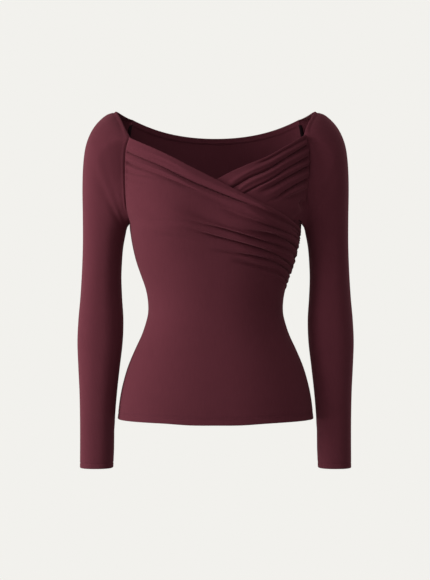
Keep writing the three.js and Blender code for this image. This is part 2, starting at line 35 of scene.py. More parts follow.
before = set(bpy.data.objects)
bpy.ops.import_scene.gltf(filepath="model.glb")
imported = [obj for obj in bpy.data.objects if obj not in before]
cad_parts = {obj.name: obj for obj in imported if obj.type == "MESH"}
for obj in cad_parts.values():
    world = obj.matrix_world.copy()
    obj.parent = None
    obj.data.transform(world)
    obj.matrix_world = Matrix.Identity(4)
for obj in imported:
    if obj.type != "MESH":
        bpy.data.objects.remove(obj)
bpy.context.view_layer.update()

# Lengths in the tables below are millimetres. The front faces -Y and the wearer's right is at -X.
MM = 0.001
SIDE = math.pi / 2
ROUNDNESS = 2.4
UNDERARM_X, UNDERARM_Z = 146.5, -190.4
HEM_Z = -519.1
BUST = {"x": 78.0, "z": -172.0, "rise": 8.0, "width": 54.0, "height": 56.0}
BACK_NECK_DIP = 28.9
# Width round the body that each panel's columns are shared out over, and rows by columns
OVERLAP_SPAN, UNDERLAP_SPAN, BACK_SPAN = 410, 390, 430
OVERLAP_GRID, UNDERLAP_GRID, BACK_GRID, SLEEVE_GRID = (242, 198), (236, 200), (230, 190), (230, 150)
SPACING_SAMPLES = 4000
# Lines of stitches, as distances in from the raw edge of each turning, and the columns they run over
HEM_LINES, NECK_LINE, CUFF_LINE = (1.5, 4.5), 1.4, 1.5
INNER_COLUMNS = slice(3, -3)
# Reach of the dip beside a seam and of the groove that a line of stitches draws in
SEAM_REACH, GROOVE_REACH = 1.5, 0.8
# Distance from a seam within which folds are held flat, and what is left of them at the side seam
HELD_REACH, UNDERLAP_HELD_REACH, HELD_SHARE = 3, 1.8, 0.25
# Layers that an armhole or side allowance adds to the cloth
ALLOWANCE_LAYERS = 0.8

# Torso form by height: half width at the side seams, reach of the front and reach of the back
TORSO = np.array([
    # z, half, front, back
    (20, 170, 76, 70), (0, 168, 82, 82), (-50, 166, 92, 96), (-100, 165.5, 102, 101),
    (-140, 163, 111, 100), (-170, 155, 116.5, 97), (-189, 146.6, 116, 94), (-201, 145.2, 114.5, 92),
    (-228, 140.9, 108, 87.5), (-255, 134.4, 101.5, 82.5), (-282, 125, 96.5, 78),
    (-296, 120, 94.5, 76), (-309, 116.7, 92.5, 75), (-323, 114.7, 91, 74.5), (-337, 114.3, 90, 75),
    (-350, 116.1, 90, 76.5), (-377, 124.6, 91, 80.5), (-405, 137.4, 93, 86.5), (-432, 148.6, 96, 93),
    (-459, 156.6, 99, 99), (-486, 162.2, 102, 104.5), (-522, 166.3, 104, 109), (-540, 168, 105, 111),
])

# Armhole seams from the top down to the underarm: distance from the middle, height, sink
FRONT_ARMHOLE_RIGHT = np.array([
    (144.4, -49.3, 0), (149.4, -65.2, 0), (151.0, -80.2, 0), (151.4, -97.7, 0), (151.3, -114.4, 0),
    (150.9, -131.0, 0), (150.4, -146.0, 0), (149.5, -159.5, 0), (148.2, -170.0, 0),
    (146.5, -178.4, 0), (145.5, -184.4, 0), (145.7, -188.3, 0), (UNDERARM_X, UNDERARM_Z, 0),
])
FRONT_ARMHOLE_LEFT = np.array([
    (150.2, -44.6, 0), (153.9, -55.5, 0), (155.7, -67.5, 0), (156.6, -81.5, 0), (156.9, -92.0, 0),
    (156.3, -104.5, 0), (155.0, -118.8, 0), (153.1, -136.0, 0), (151.4, -157.0, 0.2),
    (146.6, -174.5, 0.8), (140.0, -184.5, 1.2), (142.6, -189.6, 0.8), (UNDERARM_X, UNDERARM_Z, 0),
])
BACK_ARMHOLE = np.array([
    (145.6, -8.3, 0), (150.4, -29, 0), (152.4, -52, 0), (153.2, -75, 0), (153.4, -98, 0),
    (153.0, -121, 0), (152.0, -143, 0), (150.4, -163, 0), (148.4, -179, 0),
    (UNDERARM_X, UNDERARM_Z, 0),
])
SLEEVE_NECK = np.array([(152.6, -42, -30.5), (161.0, -26, -13.2), (168.3, -2, 0), (158.2, 29, -3.6)])

# Guide rows of the overlap: its heights at stations round the front, in degrees from the middle
OVERLAP_STATIONS = np.array([-45, -22.5, 0, 22.5, 45, 67.5, 90])
OVERLAP_ROWS = {
    0: (-76.5, -101, -122.5, -146, -172.3, -194, -205),
    3: (-98, -122.5, -141.6, -160.5, -183, -199.8, -212),
    8: (-131.5, -146.5, -164.5, -184.5, -201.5, -214, -224),
    12: (-160, -173, -190, -204.5, -211, -224.5, -238),
    16: (-178, -187.3, -198.7, -212.2, -226.3, -237, -247),
    20: (-195.5, -202.4, -214.8, -225.8, -238.5, -254.7, -267),
    25: (-219, -227.6, -237, -244, -252.5, -266.7, -279),
    28: (-241.5, -246, -250.5, -256.9, -266.8, -281, -294),
    33: (-317, -319, -321, -324, -328, -332, -336),
    40: (-520.6, -523.1, -523.3, -523.1, -520.6, -519.3, HEM_Z),
}
OVERLAP_LEFT_BELOW = np.array([
    UNDERARM_Z, -201, -213, -225, -237, -251, -266, -282, -298, -315, -333, -351, -372, -397, -430,
    -472, HEM_Z])
ARMHOLE_ROWS = 24

# Folds: rows and degrees where each starts and ends, depth (less than 0 is a ridge), the rows it
# reaches above and below its line, and the degrees over which its ends fade
FOLD_DEPTH = 1.2
OVERLAP_FOLDS = [
    # start, end, from, to, depth, above, below, fade
    (1.5, 1.3, -80, 40, -1.8, 1.0, 0.8, 8), (0.0, 2.3, -97, -60, 2.0, 0.3, 0.4, 14),
    (1.9, 1.5, -72, -24, 1.5, 0.35, 0.6, 12),
    (2.75, 3.1, -80, -32, 2.9, 0.22, 0.26, 12), (3.1, 2.8, -44, 30, 3.4, 0.22, 0.28, 12),
    (2.8, 3.1, -80, -32, 1.7, 0.5, 1.1, 12), (3.1, 2.8, -44, 26, 2.1, 0.5, 1.1, 12),
    (2.4, 2.9, 16, 94, 3.0, 0.6, 1.4, 16), (0.9, 0.9, 24, 80, -1.0, 0.8, 0.7, 14),
    (4.9, 5.3, -80, -12, 1.5, 0.26, 0.4, 8), (4.9, 5.5, -78, -16, 2.0, 0.5, 1.0, 12),
    (4.5, 5.3, -100, -52, 2.2, 0.24, 0.3, 18),
    (4.2, 4.1, -76, -20, -1.0, 0.4, 0.4, 12),
    (7.4, 6.0, -100, -42, 3.8, 0.3, 0.5, 24), (6.3, 6.0, -80, -62, 1.0, 0.2, 0.25, 8),
    (9.2, 7.1, -100, -46, 2.6, 0.3, 0.6, 24), (10.8, 8.9, -100, -50, 1.9, 0.4, 0.6, 24),
    (12.7, 11.1, -100, -52, 1.4, 0.4, 0.6, 24),
    (5.4, 5.2, 20, 74, -1.4, 1.0, 1.0, 14),
    (8.3, 7.3, 2, 64, 2.8, 0.4, 1.1, 16), (7.8, 7.6, 30, 88, 2.4, 0.3, 0.45, 16),
    (5.2, 5.0, 52, 94, 2.2, 0.4, 0.9, 12),
    (10.4, 10.4, 26, 80, -1.6, 1.0, 0.9, 16), (14.0, 14.3, 44, 92, 1.8, 0.3, 0.5, 14),
    (12.3, 12.3, 22, 96, 3.5, 0.6, 1.3, 18), (12.3, 12.3, 32, 84, 2.8, 0.3, 0.4, 18),
    (14.6, 14.8, 6, 90, -2.0, 0.8, 0.7, 16),
    (16.8, 15.9, -30, 52, 2.8, 0.5, 1.2, 24), (15.9, 16.6, 40, 96, 4.0, 0.5, 1.3, 14),
    (16.6, 15.9, -10, 66, 3.2, 0.28, 0.34, 18),
    (18.4, 18.6, 6, 88, -1.8, 0.9, 0.7, 18), (18.9, 18.5, 46, 92, 1.8, 0.26, 0.4, 14),
    (20.0, 20.6, -28, 62, 2.8, 0.5, 1.1, 26), (21.2, 20.2, 48, 96, 3.9, 0.5, 1.3, 14),
    (20.1, 20.7, -14, 76, 2.9, 0.28, 0.34, 20),
    (22.9, 23.2, 14, 88, -1.8, 0.9, 0.7, 16),
    (25.2, 24.8, -8, 60, 2.6, 0.5, 1.1, 22), (25.2, 25.2, 46, 96, 3.6, 0.5, 1.2, 14),
    (24.8, 25.3, 14, 86, 2.6, 0.28, 0.36, 18),
    (26.8, 26.9, 18, 88, -1.4, 0.8, 0.6, 16),
    (28.0, 28.2, 12, 94, 3.4, 0.5, 0.36, 20),
    (28.8, 28.9, 40, 92, -1.0, 0.3, 0.3, 14), (29.4, 29.5, 50, 92, 1.2, 0.25, 0.3, 14),
    (23.2, 24.2, -52, -14, 0.9, 0.7, 0.9, 14), (18.6, 18.2, -54, -20, 0.7, 0.7, 0.9, 14),
    (11.4, 13.2, -40, 70, 2.6, 1.8, 2.4, 34), (6.2, 6.6, -30, 60, 0.9, 1.2, 1.2, 26),
]
# Puckers of the gathered side seam: rows from one to the next, then height and reach on each panel
GATHER_PITCH = 1.9
OVERLAP_GATHER, BACK_GATHER = (1.7, 10), (1.2, 7)
# Rows set closer together along the sharpest folds: row, reach, how much closer
OVERLAP_CLOSE = [(3.0, 0.8, 2.0), (5.0, 0.5, 1.0), (12.3, 0.7, 0.6), (16.3, 0.9, 0.7),
                 (20.4, 0.9, 0.7), (25.0, 0.7, 0.6), (28.1, 0.5, 0.4)]

# Rows of the underlap, from its neck edge to its free lower edge behind the overlap
UNDERLAP_STATIONS = np.array([58, 44, 30, 15, 0, -22.5, -45, -67.5, -90])
UNDERLAP_ROWS = {
    0: (-64.8, -83.5, -96.2, -109, -123.5, -146, -172, -192, -209),
    3: (-82.2, -101.5, -115, -132.5, -145, -164, -184, -200, -215),
    6: (-99.5, -118.8, -133.5, -150, -160, -176, -194, -208, -221),
    9: (-115, -132, -147, -161, -171, -185, -202, -214, -227),
    12: (-133.3, -152, -163, -173, -182, -195, -210, -222, -234),
    14: (-146.4, -163, -173, -182, -190, -202, -217, -229, -241),
    18: (-172, -186, -193, -199, -205, -215, -229, -241, -252),
    24: (-199, -207, -213, -218, -223, -231, -243, -254, -264),
    27: (-222, -227, -232, -236, -240, -247, -257, -267, -276),
}
UNDERLAP_SIDE_BELOW = np.array([-200.5, -212, -224])
UNDERLAP_SIDE_INSET = 2.4
UNDERLAP_END = -88
# How far the underlap lies below the form: at its neck edge, at the overlap's edge, at most
UNDERLAP_SINKS = (1.2, 3.4, 9)
# Where the overlap's neck edge starts, in degrees and height
NECK_START_DEGREES, NECK_START_Z = -67.6, -49.3
UNDERLAP_FOLDS = [
    # start, end, from, to, depth, above, below, fade
    (0.8, 0.7, 88, 32, 2.2, 0.24, 0.4, 12),
    (1.7, 2.1, 88, 8, -1.8, 0.6, 0.5, 10),
    (2.5, 3.3, 88, 34, 3.0, 0.22, 0.8, 8), (3.3, 3.05, 42, 2, 2.8, 0.24, 0.8, 8),
    (2.5, 3.35, 88, 34, 2.8, 0.14, 0.18, 8), (3.35, 3.1, 42, 4, 2.6, 0.14, 0.18, 8),
    (4.1, 4.8, 88, 14, -2.0, 0.7, 0.6, 10),
    (5.3, 6.5, 88, 36, 3.0, 0.24, 0.8, 8), (6.5, 6.8, 44, 12, 2.8, 0.26, 0.8, 8),
    (5.3, 6.5, 88, 38, 2.0, 0.16, 0.2, 10), (6.5, 6.8, 46, 16, 2.0, 0.16, 0.2, 8),
    (7.1, 7.8, 88, 26, -1.8, 0.7, 0.6, 12),
    (8.2, 9.3, 88, 30, 3.4, 0.28, 0.9, 14), (8.2, 9.0, 88, 40, 2.4, 0.16, 0.22, 12),
    (10.0, 10.8, 88, 34, -1.6, 0.8, 0.7, 12),
    (11.3, 12.6, 88, 36, 3.4, 0.3, 0.8, 14), (11.3, 12.2, 88, 44, 2.4, 0.16, 0.22, 10),
    (12.7, 13.4, 86, 46, -1.6, 0.7, 0.6, 12),
    (13.7, 14.4, 86, 48, 2.6, 0.35, 0.7, 10),
    (16.1, 16.1, 75, 63, 4.2, 0.5, 0.7, 4), (17.2, 17.4, 72, 55, -2.0, 1.0, 1.1, 8),
    (16.6, 22.8, 76, 62, -2.4, 0.7, 0.5, 3),
]

# Soft folds of the back, mirrored: middle, reach along and across, turn, depth
BACK_FOLD_DEPTH = 1.5
BACK_FOLDS = [
    (118, -120, 60, 7, 0.55, 2.2), (112, -158, 56, 7, 0.42, 2.4), (60, -300, 58, 8, 0.16, 2.2),
    (48, -330, 66, 9, 0.05, 2.6), (66, -360, 54, 8, -0.14, 2.0),
]
BACK_BELOW = np.array([
    UNDERARM_Z, -208, -228, -248, -268, -288, -306, -322, -338, -355, -376, -402, -434, -474, HEM_Z])

# Sleeve rings from the shoulder to the cuff: outer point, inner point, half depth, set back
SLEEVE_RINGS = np.array([
    # out x, out z, in x, in z, half, back
    (168.3, 0, UNDERARM_X, UNDERARM_Z, 54, 0), (184.0, -3.5, 147.7, -193.0, 55, 0),
    (197.7, -13.8, 148.8, -195.6, 55, 0), (208.9, -27.4, 150.0, -198.6, 54, 0),
    (217.2, -44.6, 151.3, -202.4, 53, 0), (222.4, -65.5, 152.5, -207.5, 51.5, 1),
    (225.2, -96.0, 154.1, -214.2, 50, 1), (226.1, -134.0, 156.0, -223.5, 48, 2),
    (225.6, -178.0, 157.9, -236.0, 46, 3), (225.6, -224.0, 159.5, -256.0, 44, 4),
    (227.2, -270.0, 160.5, -283.0, 42.5, 5), (230.0, -315.0, 159.2, -317.0, 41.5, 5),
    (233.3, -353.0, 157.0, -353.0, 41, 4), (234.8, -391.0, 158.1, -391.0, 40, 2),
    (232.9, -434.0, 162.8, -434.0, 38, -2), (230.6, -475.0, 167.1, -475.0, 35.5, -6),
    (229.4, -518.0, 170.3, -518.0, 33, -10), (229.0, -560.0, 171.3, -560.0, 31, -13),
    (229.0, -601.0, 172.8, -601.0, 29.5, -16),
])
# Angles round a ring at the points of the armhole, and the point numbers where its seams meet
FRONT_SEAM_ANGLES = [0, 8, 17, 26, 36, 47, 58, 69, 80, 90, 100, 110, 120]
NECK_ANGLES = [137, 158, 180, 193]
BACK_SEAM_ANGLES = [205, 221, 238, 255, 272, 289, 306, 323, 341, 360]
FRONT_SEAM_END, BACK_SEAM_START, RING_END = 12, 17, 26
# Rings over which the armhole's shape dies away, blurred and sharp, and the blur's share of a ring
SHOULDER_RINGS, SHARP_RINGS, ARMHOLE_BLUR = 7, 4.5, 0.03
# Clearance from the torso gained with each ring, roundness of the push, power of the ring's form
SLEEVE_CLEARANCE, SLEEVE_REST, SLEEVE_POWER = 0.8, 0.02, 0.84
# How far the sewn edge of a sleeve is tucked in, and how far the unsewn part of its first row moves
TUCK, TUCK_FREE = 2.6, 0.05
# Sleeve's relief by distance down it: ridge beside the seam, roll of the neck edge, hollow below it
RIDGE_HEIGHT, RIDGE_PLACE, RIDGE_REACH = 0.6, 3.4, 1.6
ROLL_PLACE, ROLL_REACH, ROLL_THICK = 1.8, 1.5, 1.1
HOLLOW_DEPTH, HOLLOW_PLACE, HOLLOW_REACH = 0.5, 5.6, 1.3
# Overlocked edges: from beyond the seam to down the sleeve, rows across, step, ripple, thickness
OVERLOCK_BEYOND, OVERLOCK_DOWN, OVERLOCK_ROWS = -5.2, 1.0, 7
OVERLOCK_STEP, OVERLOCK_RIPPLE, OVERLOCK_THICK = 0.55, 2.2, 0.5
OVERLOCK_NEAR, OVERLOCK_NEXT, OVERLOCK_TOP_Z = 0.4, 1.4, -17

# Stage: lamps by name, azimuth, elevation, distance, size and power property
LAMPS = [
    ("key_light", -68, 3, 1.4, (0.6, 1.0), "key"), ("fill_light", 8, -2, 2.4, (1.0, 1.0), "fill"),
    ("top_light", -36, 50, 2.4, (1.0, 1.0), "top"),
    ("rim_light_right", 128, 12, 2.0, (0.9, 1.8), "rim"),
    ("rim_light_left", -128, 12, 2.0, (0.9, 1.8), "rim"),
]
LAMP_AIM = (0, 0, -0.3)
AIR_COLOUR, AIR_STRENGTH = (1, 0.98, 0.96, 1), 0.27
SENSOR_WIDTH = 36
# Profile of the backdrop in metres: radius and height
BACKDROP_PROFILE = np.array([
    (0.001, -0.9), (3.0, -0.9), (5.0, -0.9), (5.6, -0.75), (6.0, -0.3), (6.0, 5.0), (4.0, 7.0),
    (0.001, 7.0)])
BACKDROP_SIDES = 96


class ClothSizes(bpy.types.PropertyGroup):
    """Sizes of the jersey and of its sewing."""

    wall: bpy.props.FloatProperty(
        name="Cloth", description="Thickness of one layer of jersey", default=0.9 * MM,
        min=0.4 * MM, max=2 * MM, precision=5, unit="LENGTH")
    neck_turn: bpy.props.FloatProperty(
        name="Neck turning", description="Width turned in along the neck edges", default=8.5 * MM,
        precision=5, unit="LENGTH")
    hem_turn: bpy.props.FloatProperty(
        name="Hem turning", description="Width turned up at the hem", default=13 * MM,
        precision=5, unit="LENGTH")
    cuff_turn: bpy.props.FloatProperty(
        name="Cuff turning", description="Width turned in at each cuff", default=9 * MM,
        precision=5, unit="LENGTH")
    allowance: bpy.props.FloatProperty(
        name="Seam allowance", description="Width of the sewn edges inside", default=6 * MM,
        precision=5, unit="LENGTH")
    seam_dip: bpy.props.FloatProperty(
        name="Seam dip", description="How far a seam lies below the cloth beside it",
        default=0.45 * MM, precision=5, unit="LENGTH")
    stitch: bpy.props.FloatProperty(
        name="Stitch", description="Length of one stitch", default=2.6 * MM,
        precision=5, unit="LENGTH")
    wale: bpy.props.FloatProperty(
        name="Wale", description="Width of one column of knit stitches", default=1.05 * MM,
        precision=5, unit="LENGTH")


class ClothLooks(bpy.types.PropertyGroup):
    """Colours and finish of the jersey and its thread."""

    jersey: bpy.props.FloatVectorProperty(
        name="Jersey", description="Burgundy of the cloth", subtype="COLOR", size=3,
        default=(0.112, 0.0262, 0.0375), min=0, max=1)
    # Dark end of the cloth's colour mix: painted shade between the wales and stitches, and also the
    # darker tone of the random streaks and patches
    jersey_painted_shade_and_mottling: bpy.props.FloatVectorProperty(
        name="Jersey between wales", description="Burgundy between the columns of stitches",
        subtype="COLOR", size=3, default=(0.082, 0.0182, 0.0265), min=0, max=1)
    thread: bpy.props.FloatVectorProperty(
        name="Thread", description="Burgundy of the sewing thread", subtype="COLOR", size=3,
        default=(0.075, 0.019, 0.028), min=0, max=1)
    # Near black colour of the overlocked edges: painted shadow standing for the shade in the gaps
    # inside the armholes, darker than any burgundy thread
    overlock_painted_shadow: bpy.props.FloatVectorProperty(
        name="Overlock", description="Dark burgundy of the overlocked edges in the armholes",
        subtype="COLOR", size=3, default=(0.012, 0.004, 0.006), min=0, max=1)
    sheen: bpy.props.FloatProperty(
        name="Sheen", description="Soft light caught by the pile", subtype="FACTOR", default=0.2,
        min=0, max=1)
    background: bpy.props.FloatVectorProperty(
        name="Background", description="Pale floor and backdrop", subtype="COLOR", size=3,
        default=(0.888, 0.880, 0.847), min=0, max=1)


class StageSizes(bpy.types.PropertyGroup):
    """Camera and light of the studio."""

    distance: bpy.props.FloatProperty(
        name="Camera distance", description="From the camera to the middle of the top",
        default=2.6, unit="LENGTH")
    aside: bpy.props.FloatProperty(
        name="Camera aside", description="Sideways place of the camera in the part's frame",
        default=-0.001, precision=4, unit="LENGTH")
    height: bpy.props.FloatProperty(
        name="Camera height", description="Height of the camera in the part's frame",
        default=-0.3026, precision=4, unit="LENGTH")
    lens: bpy.props.FloatProperty(
        name="Lens", description="Focal length", default=94.93, unit="CAMERA")
    key: bpy.props.FloatProperty(
        name="Key light", description="Power of the near light at the viewer's left", default=21,
        unit="POWER")
    fill: bpy.props.FloatProperty(
        name="Fill light", description="Power of the weak light in front", default=4.5, unit="POWER")
    top: bpy.props.FloatProperty(
        name="Top light", description="Power of the light above the viewer's left", default=11,
        unit="POWER")
    rim: bpy.props.FloatProperty(
        name="Rim light", description="Power of each light behind the top", default=6,
        unit="POWER")


# Shape helpers. Grids are arrays of rows by columns by (x, y, z).

def smooth_step(low, high, value):
    """0 below low and 1 above high, with the cubic 3t^2 - 2t^3 between them."""
    t = np.clip((value - low) / (high - low), 0, 1)
    return t * t * (3 - 2 * t)


def lerp(a, b, t):
    """Straight blend from a to b."""
    return a + (b - a) * t


def bell(value, place, reach):
    """Gaussian of height 1 at a place: exp(-((value - place) / reach)^2)."""
    return np.exp(-((value - place) / reach) ** 2)


def hermite(t, span, v0, v1, s0, s1):
    """Cubic with values v0 and v1 and slopes s0 and s1 at the two ends of a span."""
    t2, t3 = t * t, t * t * t
    return (v0 * (2 * t3 - 3 * t2 + 1) + s0 * span * (t3 - 2 * t2 + t)
            + v1 * (3 * t2 - 2 * t3) + s1 * span * (t3 - t2))


def table_slopes(places, values):
    """Rise over the two neighbouring rows, or over one at the ends, along the last axis."""
    before = np.concatenate([[0], np.arange(places.shape[-1] - 1)])
    after = np.concatenate([np.arange(1, places.shape[-1]), [places.shape[-1] - 1]])
    return (values[..., after] - values[..., before]) / (places[..., after] - places[..., before])


def read_curve(places, values, at):
    """Cubic curve through the rows of one table, read at an array of places. values may have a
    second axis, such as the three coordinates of points."""
    places, values, at = (np.asarray(a, float) for a in (places, values, at))
    if values.ndim == 2:
        return np.stack([read_curve(places, column, at) for column in values.T], axis=-1)
    if places[0] > places[-1]:
        places, at = -places, -at
    slopes = table_slopes(places, values)
    i = np.clip(np.searchsorted(places, at, side="right") - 1, 0, len(places) - 2)
    span = places[i + 1] - places[i]
    t = np.clip((at - places[i]) / span, 0, 1)
    return hermite(t, span, values[i], values[i + 1], slopes[i], slopes[i + 1])


def read_rows(places, values, at):
    """The same with one table for each row of a grid: row i of at is read from row i of the rest."""
    if places[0, 0] > places[0, -1]:
        places, at = -places, -at
    slopes = table_slopes(places, values)
    i = (at[:, :, None] >= places[:, None, 1:-1]).sum(axis=2)
    low = [np.take_along_axis(a, i, axis=1) for a in (places, values, slopes)]
    high = [np.take_along_axis(a, i + 1, axis=1) for a in (places, values, slopes)]
    span = high[0] - low[0]
    t = np.clip((at - low[0]) / span, 0, 1)
    return hermite(t, span, low[1], high[1], low[2], high[2])


def torso(angle, z, inset=0.0):
    """Point of the torso form: a superellipse of exponent 2.4 whose half width and reach come from
    the table at height z, with two Gaussian rises for the bust that fade towards the side seams.
    Angle 0 is the middle front."""
    angle, z, inset = np.broadcast_arrays(np.asarray(angle, float), z, inset)
    half = read_curve(TORSO[:, 0], TORSO[:, 1], z) - inset
    front = np.abs(angle) <= SIDE
    reach = np.where(front, read_curve(TORSO[:, 0], TORSO[:, 2], z),
                     read_curve(TORSO[:, 0], TORSO[:, 3], z)) - inset
    sin, cos = np.sin(angle), np.cos(angle)
    radius = (np.abs(sin / half) ** ROUNDNESS + np.abs(cos / reach) ** ROUNDNESS) ** (-1 / ROUNDNESS)
    x = radius * sin
    rise = sum(np.exp(-((x - s * BUST["x"]) / BUST["width"]) ** 2
                      - ((z - BUST["z"]) / BUST["height"]) ** 2) for s in (-1, 1))
    fade = np.clip((1 - np.abs(x) / half) * 6, 0, 1)
    y = -radius * cos - np.where(front, BUST["rise"] * rise * fade, 0)
    return np.stack([x, y, z], axis=-1)


def seam_points(table, side, front):
    """Armhole seam on the torso form, from the distances, heights and sinks of its table."""
    x, z, sink = table.T
    half = read_curve(TORSO[:, 0], TORSO[:, 1], z)
    reach = read_curve(TORSO[:, 0], TORSO[:, 2 if front else 3], z)
    depth = reach * (1 - np.minimum(1, x / half) ** ROUNDNESS) ** (1 / ROUNDNESS)
    return torso(np.arctan2(side * x, depth if front else -depth), z, sink)


def angle_of(points):
    """Angle round the body from the middle front, in radians."""
    return np.arctan2(points[..., 0], -points[..., 1])


def grid_normals(grid, closed=False):
    """Unit cross product of the fall down the columns and the run along the rows."""
    fall = np.gradient(grid, axis=0)
    if closed:
        run = np.roll(grid, -1, axis=1) - np.roll(grid, 1, axis=1)
    else:
        run = np.gradient(grid, axis=1)
    normals = np.cross(fall, run)
    return normals / np.maximum(np.linalg.norm(normals, axis=-1, keepdims=True), 1e-12)


def distance_along(grid, axis):
    """Length from the first row or column, summed along the grid."""
    steps = np.linalg.norm(np.diff(grid, axis=axis), axis=-1)
    total = np.cumsum(steps, axis=axis)
    pad = [(0, 0), (0, 0)]
    pad[axis] = (1, 0)
    return np.pad(total, pad)


def cloth_distances(grid):
    """Length on the cloth to each point from the first column, the first row and the last row."""
    across, down = distance_along(grid, 1), distance_along(grid, 0)
    return across, down, down[-1] - down


def raised(grid, height, closed=False):
    """Grid moved along its normals by a height for each point."""
    return grid + grid_normals(grid, closed) * height[..., None]


def spaced(low, high, count, length_at, density=1.0, reach=10.0, share_at=None):
    """count parameters from low to high. Their steps are equal lengths on the cloth, but density
    times shorter within reach of either end, and longer where share_at gives less than 1."""
    parameter = np.linspace(low, high, SPACING_SAMPLES)
    length = length_at(parameter)
    length = length - length[0]
    near = np.minimum(length, length[-1] - length)
    weight = lerp(density, 1, smooth_step(reach, reach * 2, near))
    if share_at:
        weight = weight * share_at(parameter)
    steps = np.diff(length) * (weight[1:] + weight[:-1]) / 2
    place = np.concatenate([[0], np.cumsum(steps)])
    return np.interp(np.linspace(0, place[-1], count), place, parameter)


def fold_depth(folds, row, degrees):
    """Sum of folds. Each is a bell across the rows about its line, with its own reach above and
    below, times a smooth rise and fall along its length. Its depth is FOLD_DEPTH times the table's."""
    depth = np.zeros(np.broadcast_shapes(row.shape, degrees.shape))
    for start, end, first, last, deep, above, below, fade in folds:
        run = (degrees - first) / (last - first)
        off = row - lerp(start, end, np.clip(run, 0, 1))
        off = off / np.where(off < 0, above, below)
        ease = fade / abs(last - first)
        ends = smooth_step(0, ease, run) * smooth_step(0, ease, 1 - run)
        depth += FOLD_DEPTH * deep * ends * np.exp(-off * off)
    return depth


def gather_wave(row):
    """Puckers of the gathered seam, from -1 to 1: a sine of 1.9 rows whose phase wanders with a
    slower sine, fading out from row 2 up to -1 and from row 28 down to 31."""
    inside = smooth_step(-1, 2, row) * (1 - smooth_step(28, 31, row))
    return inside * np.sin(2 * np.pi * row / GATHER_PITCH + 0.9 * np.sin(0.9 * row))


def apart(seam):
    """1 where sleeve and torso part at once from their armhole seam and 0 where they lie against
    each other: a smooth step over the 20 mm below z = -156 in front and below z = -56 behind."""
    behind = smooth_step(-10, 10, seam[..., 1])
    return smooth_step(-176, -156, seam[..., 2] - 100 * behind)


def seam_valley(distance, depth):
    """Height beside a sewn edge: -depth on the seam, rising to 0 as a Gaussian within 3 mm."""
    return -depth * bell(distance, 0, SEAM_REACH)


def stitch_groove(distance, places, depth=0.6):
    """Narrow Gaussian groove at each line of stitches."""
    return sum(depth * bell(distance, place, GROOVE_REACH) for place in places)


def turned(distance, width):
    """1 where the cloth lies double along a turned edge and 0 beyond its raw edge."""
    return 1 - smooth_step(width, width + 0.7, distance)


def blurred(ring, width):
    """A closed ring of points blurred round itself by a Gaussian whose width is a share of it."""
    count = len(ring)
    off = np.minimum(np.arange(count), count - np.arange(count)) / (count * width)
    weight = np.exp(-off * off)
    return np.fft.ifft(np.fft.fft(ring, axis=0) * np.fft.fft(weight / weight.sum())[:, None],
                       axis=0).real


def contour(grid, distance, place):
    """Points of a grid at one distance from its first row, one for each column, by straight
    interpolation between the rows either side."""
    i = np.clip((distance < place).sum(axis=0) - 1, 0, grid.shape[0] - 2)
    j = np.arange(grid.shape[1])
    t = (place - distance[i, j]) / (distance[i + 1, j] - distance[i, j])
    return lerp(grid[i, j], grid[i + 1, j], np.clip(t, 0, 1)[:, None])


# Mesh makers

def write_mesh(name, points, quads, uv):
    """Mesh object from points in millimetres, rows of four corners and a UV pair for each point."""
    mesh = bpy.data.meshes.new(name)
    mesh.vertices.add(len(points))
    mesh.vertices.foreach_set("co", (points * MM).astype(np.float32).ravel())
    mesh.loops.add(quads.size)
    mesh.loops.foreach_set("vertex_index", quads.astype(np.int32).ravel())
    mesh.polygons.add(len(quads))
    mesh.polygons.foreach_set("loop_start", np.arange(0, quads.size, 4, dtype=np.int32))
    mesh.polygons.foreach_set("use_smooth", np.ones(len(quads), dtype=bool))
    layer = mesh.uv_layers.new(name="cloth")
    layer.data.foreach_set("uv", (uv[quads.ravel()] * MM).astype(np.float32).ravel())
    mesh.update(calc_edges=True)
    piece = bpy.data.objects.new(name, mesh)
    bpy.context.scene.collection.objects.link(piece)
    return piece


def rim_points(edge, inner, normal, thickness):
    """Half round rim: four points, 36 degrees apart, about the middle of the wall."""
    out = edge - inner
    out -= (out * normal).sum(axis=-1, keepdims=True) * normal
    out /= np.maximum(np.linalg.norm(out, axis=-1, keepdims=True), 1e-9)
    radius = thickness[:, None] / 2
    middle = edge - normal * radius
    return np.stack([middle + radius * (math.cos(a) * normal + math.sin(a) * out)
                     for a in np.radians([36, 72, 108, 144])])


def side_strip(line, rows):
    """Quads that join the outer and inner walls along one side, with two quads at each rim."""
    outer, inner = line[:rows], line[rows + 4:2 * rows + 4][::-1]
    low, high = line[rows:rows + 4], line[2 * rows + 4:][::-1]
    strip = np.stack([outer[:-1], inner[:-1], inner[1:], outer[1:]], axis=-1)
    caps = [[outer[-1], inner[-1], low[3], low[0]], [low[0], low[3], low[2], low[1]],
            [inner[0], outer[0], high[0], high[3]], [high[3], high[0], high[1], high[2]]]
    return np.concatenate([strip, caps])


